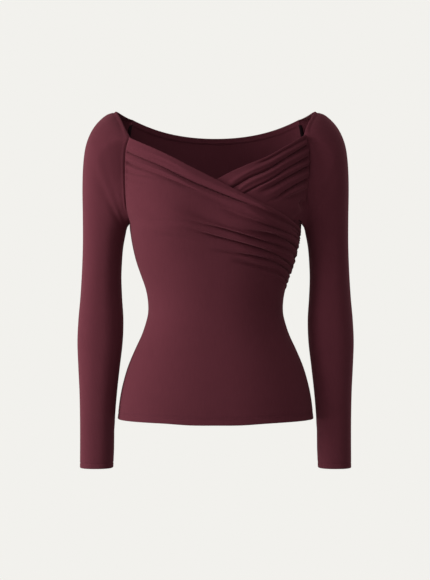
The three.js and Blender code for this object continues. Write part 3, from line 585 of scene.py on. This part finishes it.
def cloth_shell(name, grid, thickness, uv, closed=False):
    """Closed shell: the outer wall, a half round rim at the last row, the inner wall at the cloth's
    thickness, and a rim at the first row. An open grid also gets its two side strips."""
    normals = grid_normals(grid, closed)
    inside = grid - normals * thickness[..., None]
    low_rim = rim_points(grid[-1], grid[-2], normals[-1], thickness[-1])
    high_rim = rim_points(grid[0], grid[1], normals[0], thickness[0])
    loop = np.concatenate([grid, low_rim, inside[::-1], high_rim[::-1]])
    uv_loop = np.concatenate([uv, np.repeat(uv[-1:], 4, axis=0), uv[::-1],
                              np.repeat(uv[:1], 4, axis=0)])
    rows, columns = loop.shape[:2]
    number = np.arange(rows * columns).reshape(rows, columns)
    below = np.roll(number, -1, axis=0)
    if closed:
        right, below_right = np.roll(number, -1, axis=1), np.roll(below, -1, axis=1)
        quads = np.stack([number, below, below_right, right], axis=-1).reshape(-1, 4)
    else:
        quads = np.stack([number[:, :-1], below[:, :-1], below[:, 1:], number[:, 1:]],
                         axis=-1).reshape(-1, 4)
        first = side_strip(number[:, 0], len(grid))
        last = side_strip(number[:, -1], len(grid))[:, ::-1]
        quads = np.concatenate([quads, first, last])
    return write_mesh(name, loop.reshape(-1, 3), quads, uv_loop.reshape(-1, 2))


def stitches(name, paths, length, radius=0.28):
    """Stitches along paths of points and normals. Each is a tube of five four-sided rings whose
    middle stands up and whose ends sink: height = radius * (1.3 sin(pi t) - 0.6), and whose
    thickness swells as sin(pi t)."""
    t = np.linspace(0.02, 0.98, 5)
    points, quads, total = [], [], 0
    for path, normals in paths:
        along = np.concatenate([[0], np.cumsum(np.linalg.norm(np.diff(path, axis=0), axis=1))])
        count = max(1, int(along[-1] / (length * 1.25)))
        start = (np.arange(count) + 0.12) * along[-1] / count
        at = start[:, None] + t * length
        middle = np.stack([np.interp(at, along, path[:, k]) for k in range(3)], axis=-1)
        up = np.stack([np.interp(at, along, normals[:, k]) for k in range(3)], axis=-1)
        up /= np.linalg.norm(up, axis=-1, keepdims=True)
        run = np.gradient(middle, axis=1)
        side = np.cross(run, up)
        side /= np.maximum(np.linalg.norm(side, axis=-1, keepdims=True), 1e-9)
        middle += up * (radius * (1.3 * np.sin(np.pi * t) - 0.6))[:, None]
        swell = radius * (0.45 + 0.55 * np.sin(np.pi * t))[:, None]
        corners = [side, up, -side, -up]
        rings = np.stack([middle + c * swell for c in corners], axis=2)
        number = np.arange(count * 20).reshape(count, 5, 4) + total
        turn = np.roll(number, -1, axis=2)
        tube = np.stack([number[:, :-1], turn[:, :-1], turn[:, 1:], number[:, 1:]], axis=-1)
        caps = np.stack([number[:, 0, ::-1], number[:, -1]], axis=1)
        points.append(rings.reshape(-1, 3))
        quads += [tube.reshape(-1, 4), caps.reshape(-1, 4)]
        total += count * 20
    points = np.concatenate(points)
    return write_mesh(name, points, np.concatenate(quads), points[:, [0, 2]])


# Forms of the panels

def middle_zero(values, degrees):
    """values less what they are where degrees is 0, row by row."""
    return values - contour(values.T[..., None], degrees.T, 0.0)[:, :1]


def seam_curve(points, at):
    """Smooth curve through the points of a seam, read at fractional point numbers."""
    return read_curve(np.arange(len(points)), points, at)


def guides(table, row):
    """Heights of all stations at fractional guide rows."""
    return read_curve(np.array(list(table)), np.array(list(table.values()), float), row)


def panel_thickness(sizes, top, bottom, sides, neck_turn, hem_turn):
    """One layer, plus one more where an edge is turned in or a sewn edge lies inside."""
    extra = turned(top, neck_turn)
    if hem_turn:
        extra = np.maximum(extra, turned(bottom, hem_turn))
    extra = np.maximum(extra, ALLOWANCE_LAYERS * turned(sides, sizes.allowance / MM))
    return sizes.wall / MM * (1 + extra)


def overlap_form(rows, columns):
    """Plain grid of the overlap. Row numbers follow the folds: 0 is the neck edge and 40 the hem.
    A row starts at the wearer's right seam and runs round the front to 90 degrees."""
    def close(r):
        """Closeness of the rows: bells at the sharpest folds, and 0.3 below row 32."""
        peaks = sum(more * bell(r, place, reach) for place, reach, more in OVERLAP_CLOSE)
        return lerp(1, 0.3, smooth_step(29, 32, r)) * (1 + peaks)
    row = spaced(0, 40, rows, lambda r: -guides(OVERLAP_ROWS, r)[:, 3], 2.6, 14, close)
    seam = seam_curve(seam_points(FRONT_ARMHOLE_RIGHT, -1, True), row / 2)
    side = torso(-SIDE, seam_curve(OVERLAP_LEFT_BELOW, row - ARMHOLE_ROWS))
    left = np.where((row <= ARMHOLE_ROWS)[:, None], seam, side)
    left_degrees = np.degrees(angle_of(left))
    share = spaced(0, 1, columns, lambda s: OVERLAP_SPAN * s, 2.2, 8)
    degrees = lerp(left_degrees[:, None], 90, share)
    places = np.concatenate([left_degrees[:, None],
                             np.tile(OVERLAP_STATIONS, (rows, 1))], axis=1)
    heights = np.concatenate([left[:, 2:], guides(OVERLAP_ROWS, row)], axis=1)
    grid = torso(np.radians(degrees), read_rows(places, heights, degrees))
    grid[:, 0] = left
    return grid, row[:, None], np.degrees(angle_of(grid))


def underlap_form(rows, columns):
    """Plain grid of the underlap, from the wearer's left armhole to -88 degrees. It sinks below the
    form by 1.2 to 3.4 mm where it shows and by up to 9 mm behind the overlap."""
    last = ARMHOLE_ROWS + len(UNDERLAP_SIDE_BELOW)
    row = spaced(0, last, rows, lambda r: -guides(UNDERLAP_ROWS, r)[:, 1], 1.8, 10,
                 lambda r: lerp(1, 0.45, smooth_step(18, 21, r)))
    seam = seam_points(FRONT_ARMHOLE_LEFT, 1, True)
    below = torso(SIDE - 0.02, UNDERLAP_SIDE_BELOW, UNDERLAP_SIDE_INSET)
    numbers = np.concatenate([2.0 * np.arange(len(seam)), ARMHOLE_ROWS + 1 + np.arange(len(below))])
    right = read_curve(numbers, np.concatenate([seam, below]), row)
    sinks = np.concatenate([FRONT_ARMHOLE_LEFT[:, 2], np.full(len(below), UNDERLAP_SIDE_INSET)])
    seam_sink = np.interp(row, numbers, sinks)[:, None]
    right_degrees = np.degrees(angle_of(right))[:, None]
    share = spaced(0, 1, columns, lambda s: UNDERLAP_SPAN * s, 2.2, 8)
    degrees = lerp(right_degrees, UNDERLAP_END, lerp(share, share * share, 0.55))
    places = np.concatenate([right_degrees, np.tile(UNDERLAP_STATIONS, (rows, 1))], axis=1)
    heights = np.concatenate([right[:, 2:], guides(UNDERLAP_ROWS, row)], axis=1)
    z = read_rows(places, heights, degrees)
    neck = np.concatenate([[NECK_START_Z], OVERLAP_ROWS[0]])
    stations = np.concatenate([[NECK_START_DEGREES], OVERLAP_STATIONS])
    under = read_curve(stations, neck, degrees) - z
    plain = torso(np.radians(degrees), z)
    from_seam = np.linalg.norm(plain - right[:, None], axis=-1)
    at_neck, at_overlap, most = UNDERLAP_SINKS
    shown = lerp(at_neck, at_overlap, smooth_step(-55, -4, under))
    behind = np.minimum(most, at_overlap + np.maximum(0, under) * 0.25)
    sink = np.where(under > 0, behind, shown)
    sink = lerp(UNDERLAP_SIDE_INSET, sink, smooth_step(-86, -66, degrees))
    sink = lerp(seam_sink, sink, smooth_step(0, 16, from_seam))
    grid = torso(np.radians(degrees), z, sink)
    grid[:, 0] = right
    grid = grid[:, ::-1]
    return grid, row[:, None], np.degrees(angle_of(grid))


def back_form(rows, columns):
    """Plain grid of the back, from the wearer's left seam round to the right one. The rows dip
    towards the middle by the neckline's dip, fading to nothing at the underarm."""
    armhole = len(BACK_ARMHOLE) - 1
    last = armhole + len(BACK_BELOW) - 1
    heights = np.concatenate([BACK_ARMHOLE[:-1, 1] - np.linspace(28, 3, armhole), BACK_BELOW])
    row = spaced(0, last, rows, lambda r: -seam_curve(heights, r), 2.2, 14)
    seam = seam_curve(seam_points(BACK_ARMHOLE, 1, False), row)
    side = torso(SIDE + 1e-6, seam_curve(BACK_BELOW, row - armhole))
    edge = np.where((row <= armhole)[:, None], seam, side)
    edge_angle = angle_of(edge)[:, None]
    share = spaced(0, 1, columns, lambda s: BACK_SPAN * s, 2.2, 8)
    angle = lerp(edge_angle, 2 * np.pi - edge_angle, share)
    angle = np.where(angle > np.pi, angle - 2 * np.pi, angle)
    dip = BACK_NECK_DIP * (1 - smooth_step(0, armhole, row))[:, None]
    across = torso(angle, edge[:, 2:])[..., 0] / edge[:, :1]
    grid = torso(angle, edge[:, 2:] - dip * np.maximum(0, 1 - across * across))
    grid[:, 0] = edge
    grid[:, -1] = edge * (-1, 1, 1)
    return grid


def armhole_ring(side, at):
    """First ring of a sleeve at fractional seam numbers: up the front seam, over the shoulder along
    the neck edge and down the back seam, each a smooth curve through its own points."""
    table = FRONT_ARMHOLE_RIGHT if side < 0 else FRONT_ARMHOLE_LEFT
    front = seam_points(table, side, True)[::-1]
    rear = seam_points(BACK_ARMHOLE, side, False)
    neck = np.concatenate([front[-1:], SLEEVE_NECK * (side, 1, 1), rear[:1]])
    on_front, on_back = at <= FRONT_SEAM_END, at >= BACK_SEAM_START
    points = seam_curve(neck, at - FRONT_SEAM_END)
    points = np.where(on_front[:, None], seam_curve(front, at), points)
    return np.where(on_back[:, None], seam_curve(rear, at - BACK_SEAM_START), points)


def sleeve_form(side, rings, columns):
    """Plain closed grid of a sleeve. A ring is a superellipse in a leaning plane: x and z go from
    its inner to its outer point as (1 - cos a) / 2 and y as half sin a, both with cos and sin
    raised to 0.84. The first ring is the armhole. Its difference from the superellipse, blurred
    round the ring, dies away as (1 - ring / 7)^2, and the rest of it as (1 - ring / 4.5)^2. Where the
    sleeve would lie in the torso it is pushed out to it, with a soft maximum, (s + sqrt(s^2 +
    r^2)) / 2, where s is the share by which it falls short and r is its roundness."""
    def middle(k):
        """Length down the sleeve to fractional ring k, through the middles of the rings."""
        line = read_curve(np.arange(len(SLEEVE_RINGS)), SLEEVE_RINGS[:, :4], k)
        steps = np.linalg.norm(np.gradient((line[:, :2] + line[:, 2:]) / 2, axis=0), axis=1)
        return np.cumsum(steps)
    ring = spaced(0, len(SLEEVE_RINGS) - 1, rings, middle, 2.2, 12)
    share = np.array([FRONT_SEAM_END, 2.6, RING_END - BACK_SEAM_START]) * columns / 24
    counts = np.round(share).astype(int)
    ends = [(0, FRONT_SEAM_END), (FRONT_SEAM_END, BACK_SEAM_START), (BACK_SEAM_START, RING_END)]
    at = np.concatenate([np.linspace(*end, n, endpoint=False) for end, n in zip(ends, counts)])
    angles = FRONT_SEAM_ANGLES + NECK_ANGLES + BACK_SEAM_ANGLES
    angle = np.radians(read_curve(np.arange(len(angles)), angles, at))
    out_x, out_z, in_x, in_z, half, back = read_curve(
        np.arange(len(SLEEVE_RINGS)), SLEEVE_RINGS, ring).T[..., None]
    cos, sin = np.cos(angle), np.sin(angle)
    lean = (1 - np.sign(cos) * np.abs(cos) ** SLEEVE_POWER) / 2
    round_y = np.sign(sin) * np.abs(sin) ** SLEEVE_POWER
    grid = np.stack([side * lerp(in_x, out_x, lean), back - half * round_y,
                     lerp(in_z, out_z, lean)], axis=-1)
    gap = armhole_ring(side, at) - grid[0]
    soft = blurred(gap, ARMHOLE_BLUR)
    keep, keep_sharp = (np.maximum(0, 1 - ring[:, None, None] / reach) ** 2
                        for reach in (SHOULDER_RINGS, SHARP_RINGS))
    grid = grid + keep * soft + keep_sharp * (gap - soft)
    sewn = 1 - smooth_step(FRONT_SEAM_END, FRONT_SEAM_END + 1, at) * (
        1 - smooth_step(BACK_SEAM_START - 1, BACK_SEAM_START, at))
    form = torso(angle_of(grid), grid[..., 2])
    clear = np.hypot(form[..., 0], form[..., 1]) + np.minimum(ring, 5)[:, None] * SLEEVE_CLEARANCE
    short = clear / np.hypot(grid[..., 0], grid[..., 1]) - 1
    rest = SLEEVE_REST * (smooth_step(0, 2.5, ring) - smooth_step(7, 10, ring))[:, None]
    push = 1 + (short + np.sqrt(short * short + rest * rest)) / 2 * sewn
    grid[..., :2] *= push[..., None]
    if side < 0:
        return grid[:, ::-1], sewn[::-1]
    return grid, sewn


# Finish

class JerseyMaker:
    """Builds node materials of the jersey and its thread."""

    def __init__(self, name):
        self.material = bpy.data.materials.new(name)
        self.material.use_nodes = True
        self.nodes = self.material.node_tree.nodes
        self.links = self.material.node_tree.links
        self.shader = self.nodes["Principled BSDF"]

    def node(self, kind, **values):
        """New node, with its settings."""
        made = self.nodes.new(kind)
        for key, value in values.items():
            setattr(made, key, value)
        return made

    def calc(self, operation, a, b=None):
        """Math node of one or two values or sockets."""
        made = self.node("ShaderNodeMath", operation=operation)
        for index, value in enumerate((a, b)):
            if isinstance(value, (int, float)):
                made.inputs[index].default_value = value
            elif value is not None:
                self.links.new(value, made.inputs[index])
        return made.outputs[0]

    def noise(self, vector, scale, detail=2.0, stretch=(1, 1, 1)):
        """Noise from 0 to 1 on a vector that is first stretched."""
        mapping = self.node("ShaderNodeMapping")
        mapping.inputs["Scale"].default_value = stretch
        self.links.new(vector, mapping.inputs["Vector"])
        made = self.node("ShaderNodeTexNoise")
        made.inputs["Scale"].default_value = scale
        made.inputs["Detail"].default_value = detail
        self.links.new(mapping.outputs[0], made.inputs["Vector"])
        return made.outputs["Fac"]

    def mix(self, factor, a, b):
        """Blend of two colours."""
        made = self.node("ShaderNodeMix", data_type="RGBA")
        self.links.new(factor, made.inputs["Factor"])
        for socket, value in ((made.inputs["A"], a), (made.inputs["B"], b)):
            if hasattr(value, "is_linked"):
                self.links.new(value, socket)
            else:
                socket.default_value = (*value, 1)
        return made.outputs["Result"]


def jersey_material(sizes, looks):
    """Plain knit. Across a wale the height is a rounded ridge, 1 - (2 |t|)^2, and along it the
    stitches are a sine whose phase leans with |t|, which draws the V of each stitch. The same
    height also sets the colour: painted shade, darker between the wales and in the dips of the
    stitches. Soft noise darkens the cloth unevenly along the wales, in random streaks and patches of
    tone."""
    make = JerseyMaker("burgundy_jersey")
    uv = make.node("ShaderNodeUVMap", uv_map="cloth").outputs["UV"]
    split = make.node("ShaderNodeSeparateXYZ")
    make.links.new(uv, split.inputs[0])
    wale = make.calc("DIVIDE", split.outputs[0], sizes.wale)
    course = make.calc("DIVIDE", split.outputs[1], sizes.wale * 0.8)
    off = make.calc("ABSOLUTE", make.calc("SUBTRACT", make.calc("FRACT", wale), 0.5))
    ridge = make.calc("SUBTRACT", 1.0, make.calc("MULTIPLY", make.calc("MULTIPLY", off, off), 4.0))
    phase = make.calc("MULTIPLY", make.calc("ADD", course, off), 2 * math.pi)
    stitch = make.calc("MULTIPLY", make.calc("SINE", phase), 0.22)
    height = make.calc("ADD", ridge, stitch)
    place = make.node("ShaderNodeTexCoord").outputs["Object"]
    streaks = make.noise(uv, 420, 2, (1, 0.12, 1))
    patches = make.noise(place, 26, 3)
    fuzz = make.noise(place, 2600, 3)
    # Colour factor: painted shade from the knit's height, darker between the wales, plus random
    # streaks and patches of tone
    shade = make.calc("ADD", make.calc("MULTIPLY", height, 0.42),
                      make.calc("MULTIPLY", streaks, 0.55))
    shade = make.calc("ADD", shade, make.calc("MULTIPLY", patches, 0.3))
    shade = make.calc("SUBTRACT", shade, 0.18)
    colour = make.mix(shade, looks.jersey_painted_shade_and_mottling, looks.jersey)
    make.links.new(colour, make.shader.inputs["Base Color"])
    relief = make.calc("ADD", height, make.calc("MULTIPLY", fuzz, 0.5))
    bump = make.node("ShaderNodeBump")
    bump.inputs["Strength"].default_value = 0.35
    bump.inputs["Distance"].default_value = 0.00022
    make.links.new(relief, bump.inputs["Height"])
    make.links.new(bump.outputs[0], make.shader.inputs["Normal"])
    make.shader.inputs["Roughness"].default_value = 0.92
    make.shader.inputs["Specular IOR Level"].default_value = 0.06
    make.shader.inputs["Sheen Weight"].default_value = looks.sheen
    make.shader.inputs["Sheen Roughness"].default_value = 0.45
    make.shader.inputs["Sheen Tint"].default_value = (0.9, 0.32, 0.38, 1)
    return make.material


def thread_material(name, colour):
    """Twisted thread: a fine noise along it lightens its colour in flecks."""
    make = JerseyMaker(name)
    place = make.node("ShaderNodeTexCoord").outputs["Object"]
    flecks = make.noise(place, 3000, 2)
    pale = tuple(min(1, c * 1.5) for c in colour)
    make.links.new(make.mix(flecks, colour, pale), make.shader.inputs["Base Color"])
    make.shader.inputs["Roughness"].default_value = 0.85
    make.shader.inputs["Specular IOR Level"].default_value = 0.1
    return make.material


def finish_of(name):
    """The named material, made the first time that it is asked for."""
    found = bpy.data.materials.get(name)
    if found:
        return found
    sizes, looks = bpy.context.scene.wrap_top_sizes, bpy.context.scene.wrap_top_looks
    if name == "burgundy_jersey":
        return jersey_material(sizes, looks)
    # The overlock strip takes the near black painted shadow colour; all other thread takes the sewing
    # thread's burgundy
    return thread_material(name, tuple(looks.overlock_painted_shadow if name == "overlock_thread" else looks.thread))


def dress(piece, finish, node=None):
    """Gives a piece its finish and its body, and hides the imported part of the node that it stands
    for.
    """
    piece.data.materials.append(finish_of(finish))
    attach(piece, "root")
    if node:
        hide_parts(node)


def tucked_row(grid, sewn):
    """One more row before the first, where the sewn edge turns in behind its neighbour: 2.6 mm into
    the torso form where it is sewn, and almost nothing elsewhere."""
    edge = grid[0]
    fall = grid[1] - edge
    fall /= np.linalg.norm(fall, axis=-1, keepdims=True)
    angle, z = angle_of(edge), edge[:, 2]
    inwards = (torso(angle, z, TUCK) - torso(angle, z)) * sewn[:, None]
    return (edge + inwards - fall * (TUCK_FREE * (1 - sewn))[:, None])[None]


def stitched_edge(name, grid, lines):
    """Stitches along lines of a grid: each is the distances, the place on them and the columns."""
    normals = grid_normals(grid)
    paths = []
    for distance, place, columns in lines:
        path = contour(grid, distance, place)[columns]
        up = contour(normals, distance, place)[columns]
        paths.append((path, up))
    return stitches(name, paths, bpy.context.scene.wrap_top_sizes.stitch / MM)


def hem_places(hem):
    """Distances of the two lines of hem stitches from the hem's edge."""
    return [hem - line for line in HEM_LINES]


def hem_stitches(name, grid, up, hem):
    """Stitches along both lines of a hem, in the sewing thread."""
    sewing = stitched_edge(name, grid[::-1],
                           [(up[::-1], place, INNER_COLUMNS) for place in hem_places(hem)])
    dress(sewing, "sewing_thread")
    return sewing


# Operators

class WRAPTOP_OT_front_overlap(bpy.types.Operator):
    """Front overlap, with its long folds, the gathers at the side seam, neck edge and hem"""
    bl_idname = "wraptop.front_overlap"
    bl_label = "Front overlap"

    def execute(self, context):
        sizes = context.scene.wrap_top_sizes
        plain, row, degrees = overlap_form(*OVERLAP_GRID)
        across, down, up = cloth_distances(plain)
        left, right = across, across[:, -1:] - across
        sides = np.minimum(left, right)
        held = 1 - bell(left, 0, HELD_REACH)
        height = -fold_depth(OVERLAP_FOLDS, row, degrees) * held
        height *= HELD_SHARE + (1 - HELD_SHARE) * (1 - bell(right, 0, HELD_REACH))
        gather, reach = OVERLAP_GATHER
        height += (gather * gather_wave(row) * np.exp(-right / reach)
                   * lerp(0.35, 1, 1 - np.exp(-right)))
        height += seam_valley(left, sizes.seam_dip / MM) * apart(plain[:, :1])
        height += seam_valley(right, sizes.seam_dip / MM)
        neck, hem = sizes.neck_turn / MM, sizes.hem_turn / MM
        height -= stitch_groove(up, hem_places(hem))
        grid = raised(plain, height)
        thickness = panel_thickness(sizes, down, up, sides, neck, hem)
        uv = np.stack([middle_zero(across, degrees), -plain[..., 2]], axis=-1)
        piece = cloth_shell("front_overlap_cloth", grid, thickness, uv)
        dress(piece, "burgundy_jersey", "front_overlap")
        hem_sewing = hem_stitches("front_hem_stitching", grid, up, hem)
        return {"FINISHED"}


class WRAPTOP_OT_front_underlap(bpy.types.Operator):
    """Front underlap, drawn into slanting folds at the wearer's left armhole"""
    bl_idname = "wraptop.front_underlap"
    bl_label = "Front underlap"

    def execute(self, context):
        sizes = context.scene.wrap_top_sizes
        plain, row, degrees = underlap_form(*UNDERLAP_GRID)
        across, down, up = cloth_distances(plain)
        right = across[:, -1:] - across
        held = 1 - bell(right, 0, UNDERLAP_HELD_REACH)
        height = -fold_depth(UNDERLAP_FOLDS, row, degrees) * held
        height += seam_valley(right, sizes.seam_dip / MM) * apart(plain[:, -1:])
        grid = raised(plain, height)
        thickness = panel_thickness(sizes, down, up, right, sizes.neck_turn / MM, 0)
        uv = np.stack([middle_zero(across, degrees), -plain[..., 2]], axis=-1)
        piece = cloth_shell("front_underlap_cloth", grid, thickness, uv)
        dress(piece, "burgundy_jersey", "front_underlap")
        return {"FINISHED"}


class WRAPTOP_OT_back(bpy.types.Operator):
    """Back, with its scooped neck edge and soft folds"""
    bl_idname = "wraptop.back"
    bl_label = "Back"

    def execute(self, context):
        sizes = context.scene.wrap_top_sizes
        plain = back_form(*BACK_GRID)
        across, down, up = cloth_distances(plain)
        sides = np.minimum(across, across[:, -1:] - across)
        x, y, z = np.moveaxis(plain, -1, 0)
        height = seam_valley(sides, sizes.seam_dip / MM) * apart(plain[:, :1])
        side_rows = read_curve([heights[-1] for heights in OVERLAP_ROWS.values()][::-1],
                               np.array(list(OVERLAP_ROWS), float)[::-1], z)
        gather, reach = BACK_GATHER
        height += gather * gather_wave(side_rows) * np.exp(-across / reach)
        for fold_x, fold_z, reach, width, turn, depth in BACK_FOLDS:
            for side in (-1, 1):
                dx, dz = side * x - fold_x, z - fold_z
                along = dx * math.cos(turn) + dz * math.sin(turn)
                off = dz * math.cos(turn) - dx * math.sin(turn)
                height -= (BACK_FOLD_DEPTH * depth * np.exp(-(along / reach) ** 2 - (off / width) ** 2)
                           * smooth_step(0, 40, y) * smooth_step(1, 16, sides))
        neck, hem = sizes.neck_turn / MM, sizes.hem_turn / MM
        height -= stitch_groove(down, [neck - NECK_LINE], 0.25) + stitch_groove(up, hem_places(hem))
        grid = raised(plain, height)
        thickness = panel_thickness(sizes, down, up, sides, neck, hem)
        uv = np.stack([across - across[:, -1:] / 2, -plain[..., 2]], axis=-1)
        piece = cloth_shell("back_cloth", grid, thickness, uv)
        dress(piece, "burgundy_jersey", "back")
        sewing = stitched_edge("back_neck_stitching", grid,
                               [(down, neck - NECK_LINE, INNER_COLUMNS)])
        inside = raised(grid, -thickness)
        inside_sewing = stitched_edge("back_neck_inside_stitching", inside[:, ::-1],
                                      [(down[:, ::-1], neck - NECK_LINE, INNER_COLUMNS)])
        for stitching in (sewing, inside_sewing):
            dress(stitching, "sewing_thread")
        hem_sewing = hem_stitches("back_hem_stitching", grid, up, hem)
        return {"FINISHED"}


class WRAPTOP_OT_sleeves(bpy.types.Operator):
    """Both long sleeves, from the armholes and the neck edge over the shoulders to the cuffs"""
    bl_idname = "wraptop.sleeves"
    bl_label = "Sleeves"

    def execute(self, context):
        sizes = context.scene.wrap_top_sizes
        for name, side in (("sleeve_right", -1), ("sleeve_left", 1)):
            plain, sewn = sleeve_form(side, *SLEEVE_GRID)
            around, down, up = cloth_distances(plain)
            bare = apart(plain[0])
            height = seam_valley(down, sizes.seam_dip / MM) * sewn * bare
            height += RIDGE_HEIGHT * bell(down, RIDGE_PLACE, RIDGE_REACH) * sewn * bare
            roll = bell(down, ROLL_PLACE, ROLL_REACH) * (1 - sewn)
            height += roll - HOLLOW_DEPTH * bell(down, HOLLOW_PLACE, HOLLOW_REACH) * (1 - sewn)
            neck, cuff = sizes.neck_turn / MM, sizes.cuff_turn / MM
            height -= stitch_groove(up, [cuff - CUFF_LINE])
            grid = raised(plain, height, True)
            extra = np.maximum(turned(down, neck) * (1 - sewn), turned(up, cuff))
            allowance = ALLOWANCE_LAYERS * turned(down, sizes.allowance / MM) * sewn
            extra = np.maximum(extra, allowance)
            thickness = sizes.wall / MM * (1 + extra) + ROLL_THICK * roll
            uv = np.stack([around - around[:, :1], down], axis=-1)
            tucked = np.concatenate([tucked_row(grid, sewn), grid])
            piece = cloth_shell(name + "_cloth", tucked, np.concatenate([thickness[:1], thickness]),
                                np.concatenate([uv[:1], uv]), closed=True)
            dress(piece, "burgundy_jersey", name)
            inside = raised(grid, -thickness, True)
            overlock_painted_shadow = self.overlock_painted_shadow(name + "_overlock", inside, down, sewn)
            sewing = stitched_edge(name + "_stitching", grid[::-1],
                                   [(up[::-1], cuff - CUFF_LINE, slice(None))])
            # The overlock strip is dressed near black: painted shadow in the gaps inside the armhole
            dress(overlock_painted_shadow, "overlock_thread")
            dress(sewing, "sewing_thread")
        return {"FINISHED"}

    def overlock_painted_shadow(self, name, inside, down, sewn):
        """Overlocked edges inside the armhole seam: a strip from 5.2 mm beyond the seam to 1 mm down
        the sleeve, raised by 0.5 + 0.7 sin(pi t) (1 + 0.2 sin(ripple)) across, where the ripple
        repeats every 2.2 mm along it. Beyond the seam it runs straight on, so it stands off the
        torso."""
        mask = (sewn > 0.99) & (inside[0, :, 2] < OVERLOCK_TOP_Z)
        first = int(np.flatnonzero(mask & ~np.roll(mask, 1))[0])
        inside, down, mask = (np.roll(a, -first, axis=a.ndim - 1 if a.ndim < 3 else 1)
                              for a in (inside, down, mask))
        t = np.linspace(0, 1, OVERLOCK_ROWS)
        near = contour(inside, down, OVERLOCK_NEAR)
        onward = near - contour(inside, down, OVERLOCK_NEXT)
        strip = np.stack([contour(inside, down, place) if place > OVERLOCK_NEAR else
                          near + onward * (OVERLOCK_NEAR - place)
                          for place in lerp(OVERLOCK_BEYOND, OVERLOCK_DOWN, t)])
        strip = strip[:, mask][:, ::-1]
        count = int(distance_along(strip[3:4], 1)[0, -1] / OVERLOCK_STEP)
        at = np.linspace(0, strip.shape[1] - 1, count)
        strip = np.stack([seam_curve(line, at) for line in strip])
        along = distance_along(strip, 1)
        crown = 0.5 + 0.7 * np.sin(np.pi * t)[:, None] * (1 + 0.2 * np.sin(
            2 * np.pi * (along / OVERLOCK_RIPPLE + t[:, None] * 0.5)))
        grid = raised(strip, crown)
        uv = np.stack([along, distance_along(strip, 0)], axis=-1)
        return cloth_shell(name, grid, np.full(grid.shape[:2], OVERLOCK_THICK), uv)


class WRAPTOP_OT_stage(bpy.types.Operator):
    """Pale floor and backdrop, studio lights and camera"""
    bl_idname = "wraptop.stage"
    bl_label = "Stage"

    def execute(self, context):
        scene = context.scene
        stage, looks = scene.wrap_top_stage, scene.wrap_top_looks
        scene.view_settings.view_transform = "Standard"
        self.backdrop(looks)
        camera = bpy.data.cameras.new("camera")
        camera.lens, camera.sensor_width = stage.lens, SENSOR_WIDTH
        seat = bpy.data.objects.new("camera", camera)
        seat.location = (stage.aside, -stage.distance, stage.height)
        seat.rotation_euler = (math.pi / 2, 0, 0)
        scene.collection.objects.link(seat)
        scene.camera = seat
        for *place, power in LAMPS:
            self.lamp(*place, getattr(stage, power))
        world = bpy.data.worlds.new("studio")
        world.use_nodes = True
        air = world.node_tree.nodes["Background"]
        air.inputs["Color"].default_value = AIR_COLOUR
        air.inputs["Strength"].default_value = AIR_STRENGTH
        scene.world = world
        return {"FINISHED"}

    def backdrop(self, looks):
        """Round room of 6 m radius with a flat floor, 0.9 m below the shoulders: a profile turned
        about +Z, seen from inside."""
        angle = np.linspace(0, 2 * np.pi, BACKDROP_SIDES + 1)[:-1]
        radius, height = BACKDROP_PROFILE.T / MM
        points = np.stack([radius[:, None] * np.cos(angle), radius[:, None] * np.sin(angle),
                           np.repeat(height[:, None], len(angle), axis=1)], axis=-1)
        number = np.arange(points.shape[0] * points.shape[1]).reshape(points.shape[:2])
        turn = np.roll(number, -1, axis=1)
        quads = np.stack([number[:-1], turn[:-1], turn[1:], number[1:]], axis=-1).reshape(-1, 4)
        room = write_mesh("floor_and_backdrop", points.reshape(-1, 3), quads,
                          points.reshape(-1, 3)[:, :2])
        paint = bpy.data.materials.new("pale_backdrop")
        paint.use_nodes = True
        nodes, links = paint.node_tree.nodes, paint.node_tree.links
        nodes.remove(nodes["Principled BSDF"])
        glow = nodes.new("ShaderNodeEmission")
        glow.inputs["Color"].default_value = (*looks.background, 1)
        links.new(glow.outputs[0], nodes["Material Output"].inputs["Surface"])
        room.data.materials.append(paint)
        room.visible_diffuse = room.visible_glossy = room.visible_shadow = False

    def lamp(self, name, azimuth, elevation, distance, size, power):
        """Rectangular light at a bearing from the camera's side, facing the middle of the top."""
        light = bpy.data.lights.new(name, "AREA")
        light.shape = "RECTANGLE"
        light.size, light.size_y = size
        light.energy = power
        lamp = bpy.data.objects.new(name, light)
        a, e = math.radians(azimuth), math.radians(elevation)
        way = np.array([math.sin(a) * math.cos(e), -math.cos(a) * math.cos(e), math.sin(e)])
        lamp.location = tuple(way * distance + LAMP_AIM)
        lamp.rotation_euler = (math.pi / 2 - e, 0, a)
        lamp.visible_camera = False
        bpy.context.scene.collection.objects.link(lamp)


class WRAPTOP_PT_sidebar(bpy.types.Panel):
    """Sizes, looks and makers of the wrap top"""
    bl_idname = "WRAPTOP_PT_sidebar"
    bl_label = "Wrap top"
    bl_space_type = "VIEW_3D"
    bl_region_type = "UI"
    bl_category = "Wrap top"

    def draw(self, context):
        for group in (context.scene.wrap_top_sizes, context.scene.wrap_top_looks,
                      context.scene.wrap_top_stage):
            box = self.layout.box()
            for key in type(group).__annotations__:
                box.prop(group, key)
        for operator in OPERATORS:
            self.layout.operator(operator.bl_idname)


GROUPS = {"wrap_top_sizes": ClothSizes, "wrap_top_looks": ClothLooks, "wrap_top_stage": StageSizes}
OPERATORS = [
    WRAPTOP_OT_front_overlap, WRAPTOP_OT_front_underlap, WRAPTOP_OT_back, WRAPTOP_OT_sleeves,
    WRAPTOP_OT_stage,
]


def register():
    for name, group in GROUPS.items():
        bpy.utils.register_class(group)
        setattr(bpy.types.Scene, name, bpy.props.PointerProperty(type=group))
    for operator in OPERATORS:
        bpy.utils.register_class(operator)
    bpy.utils.register_class(WRAPTOP_PT_sidebar)


def unregister():
    bpy.utils.unregister_class(WRAPTOP_PT_sidebar)
    for operator in reversed(OPERATORS):
        bpy.utils.unregister_class(operator)
    for name, group in GROUPS.items():
        delattr(bpy.types.Scene, name)
        bpy.utils.unregister_class(group)


def main():
    register()
    for operator in OPERATORS:
        group, name = operator.bl_idname.split(".")
        getattr(getattr(bpy.ops, group), name)()


if __name__ == "__main__":
    main()
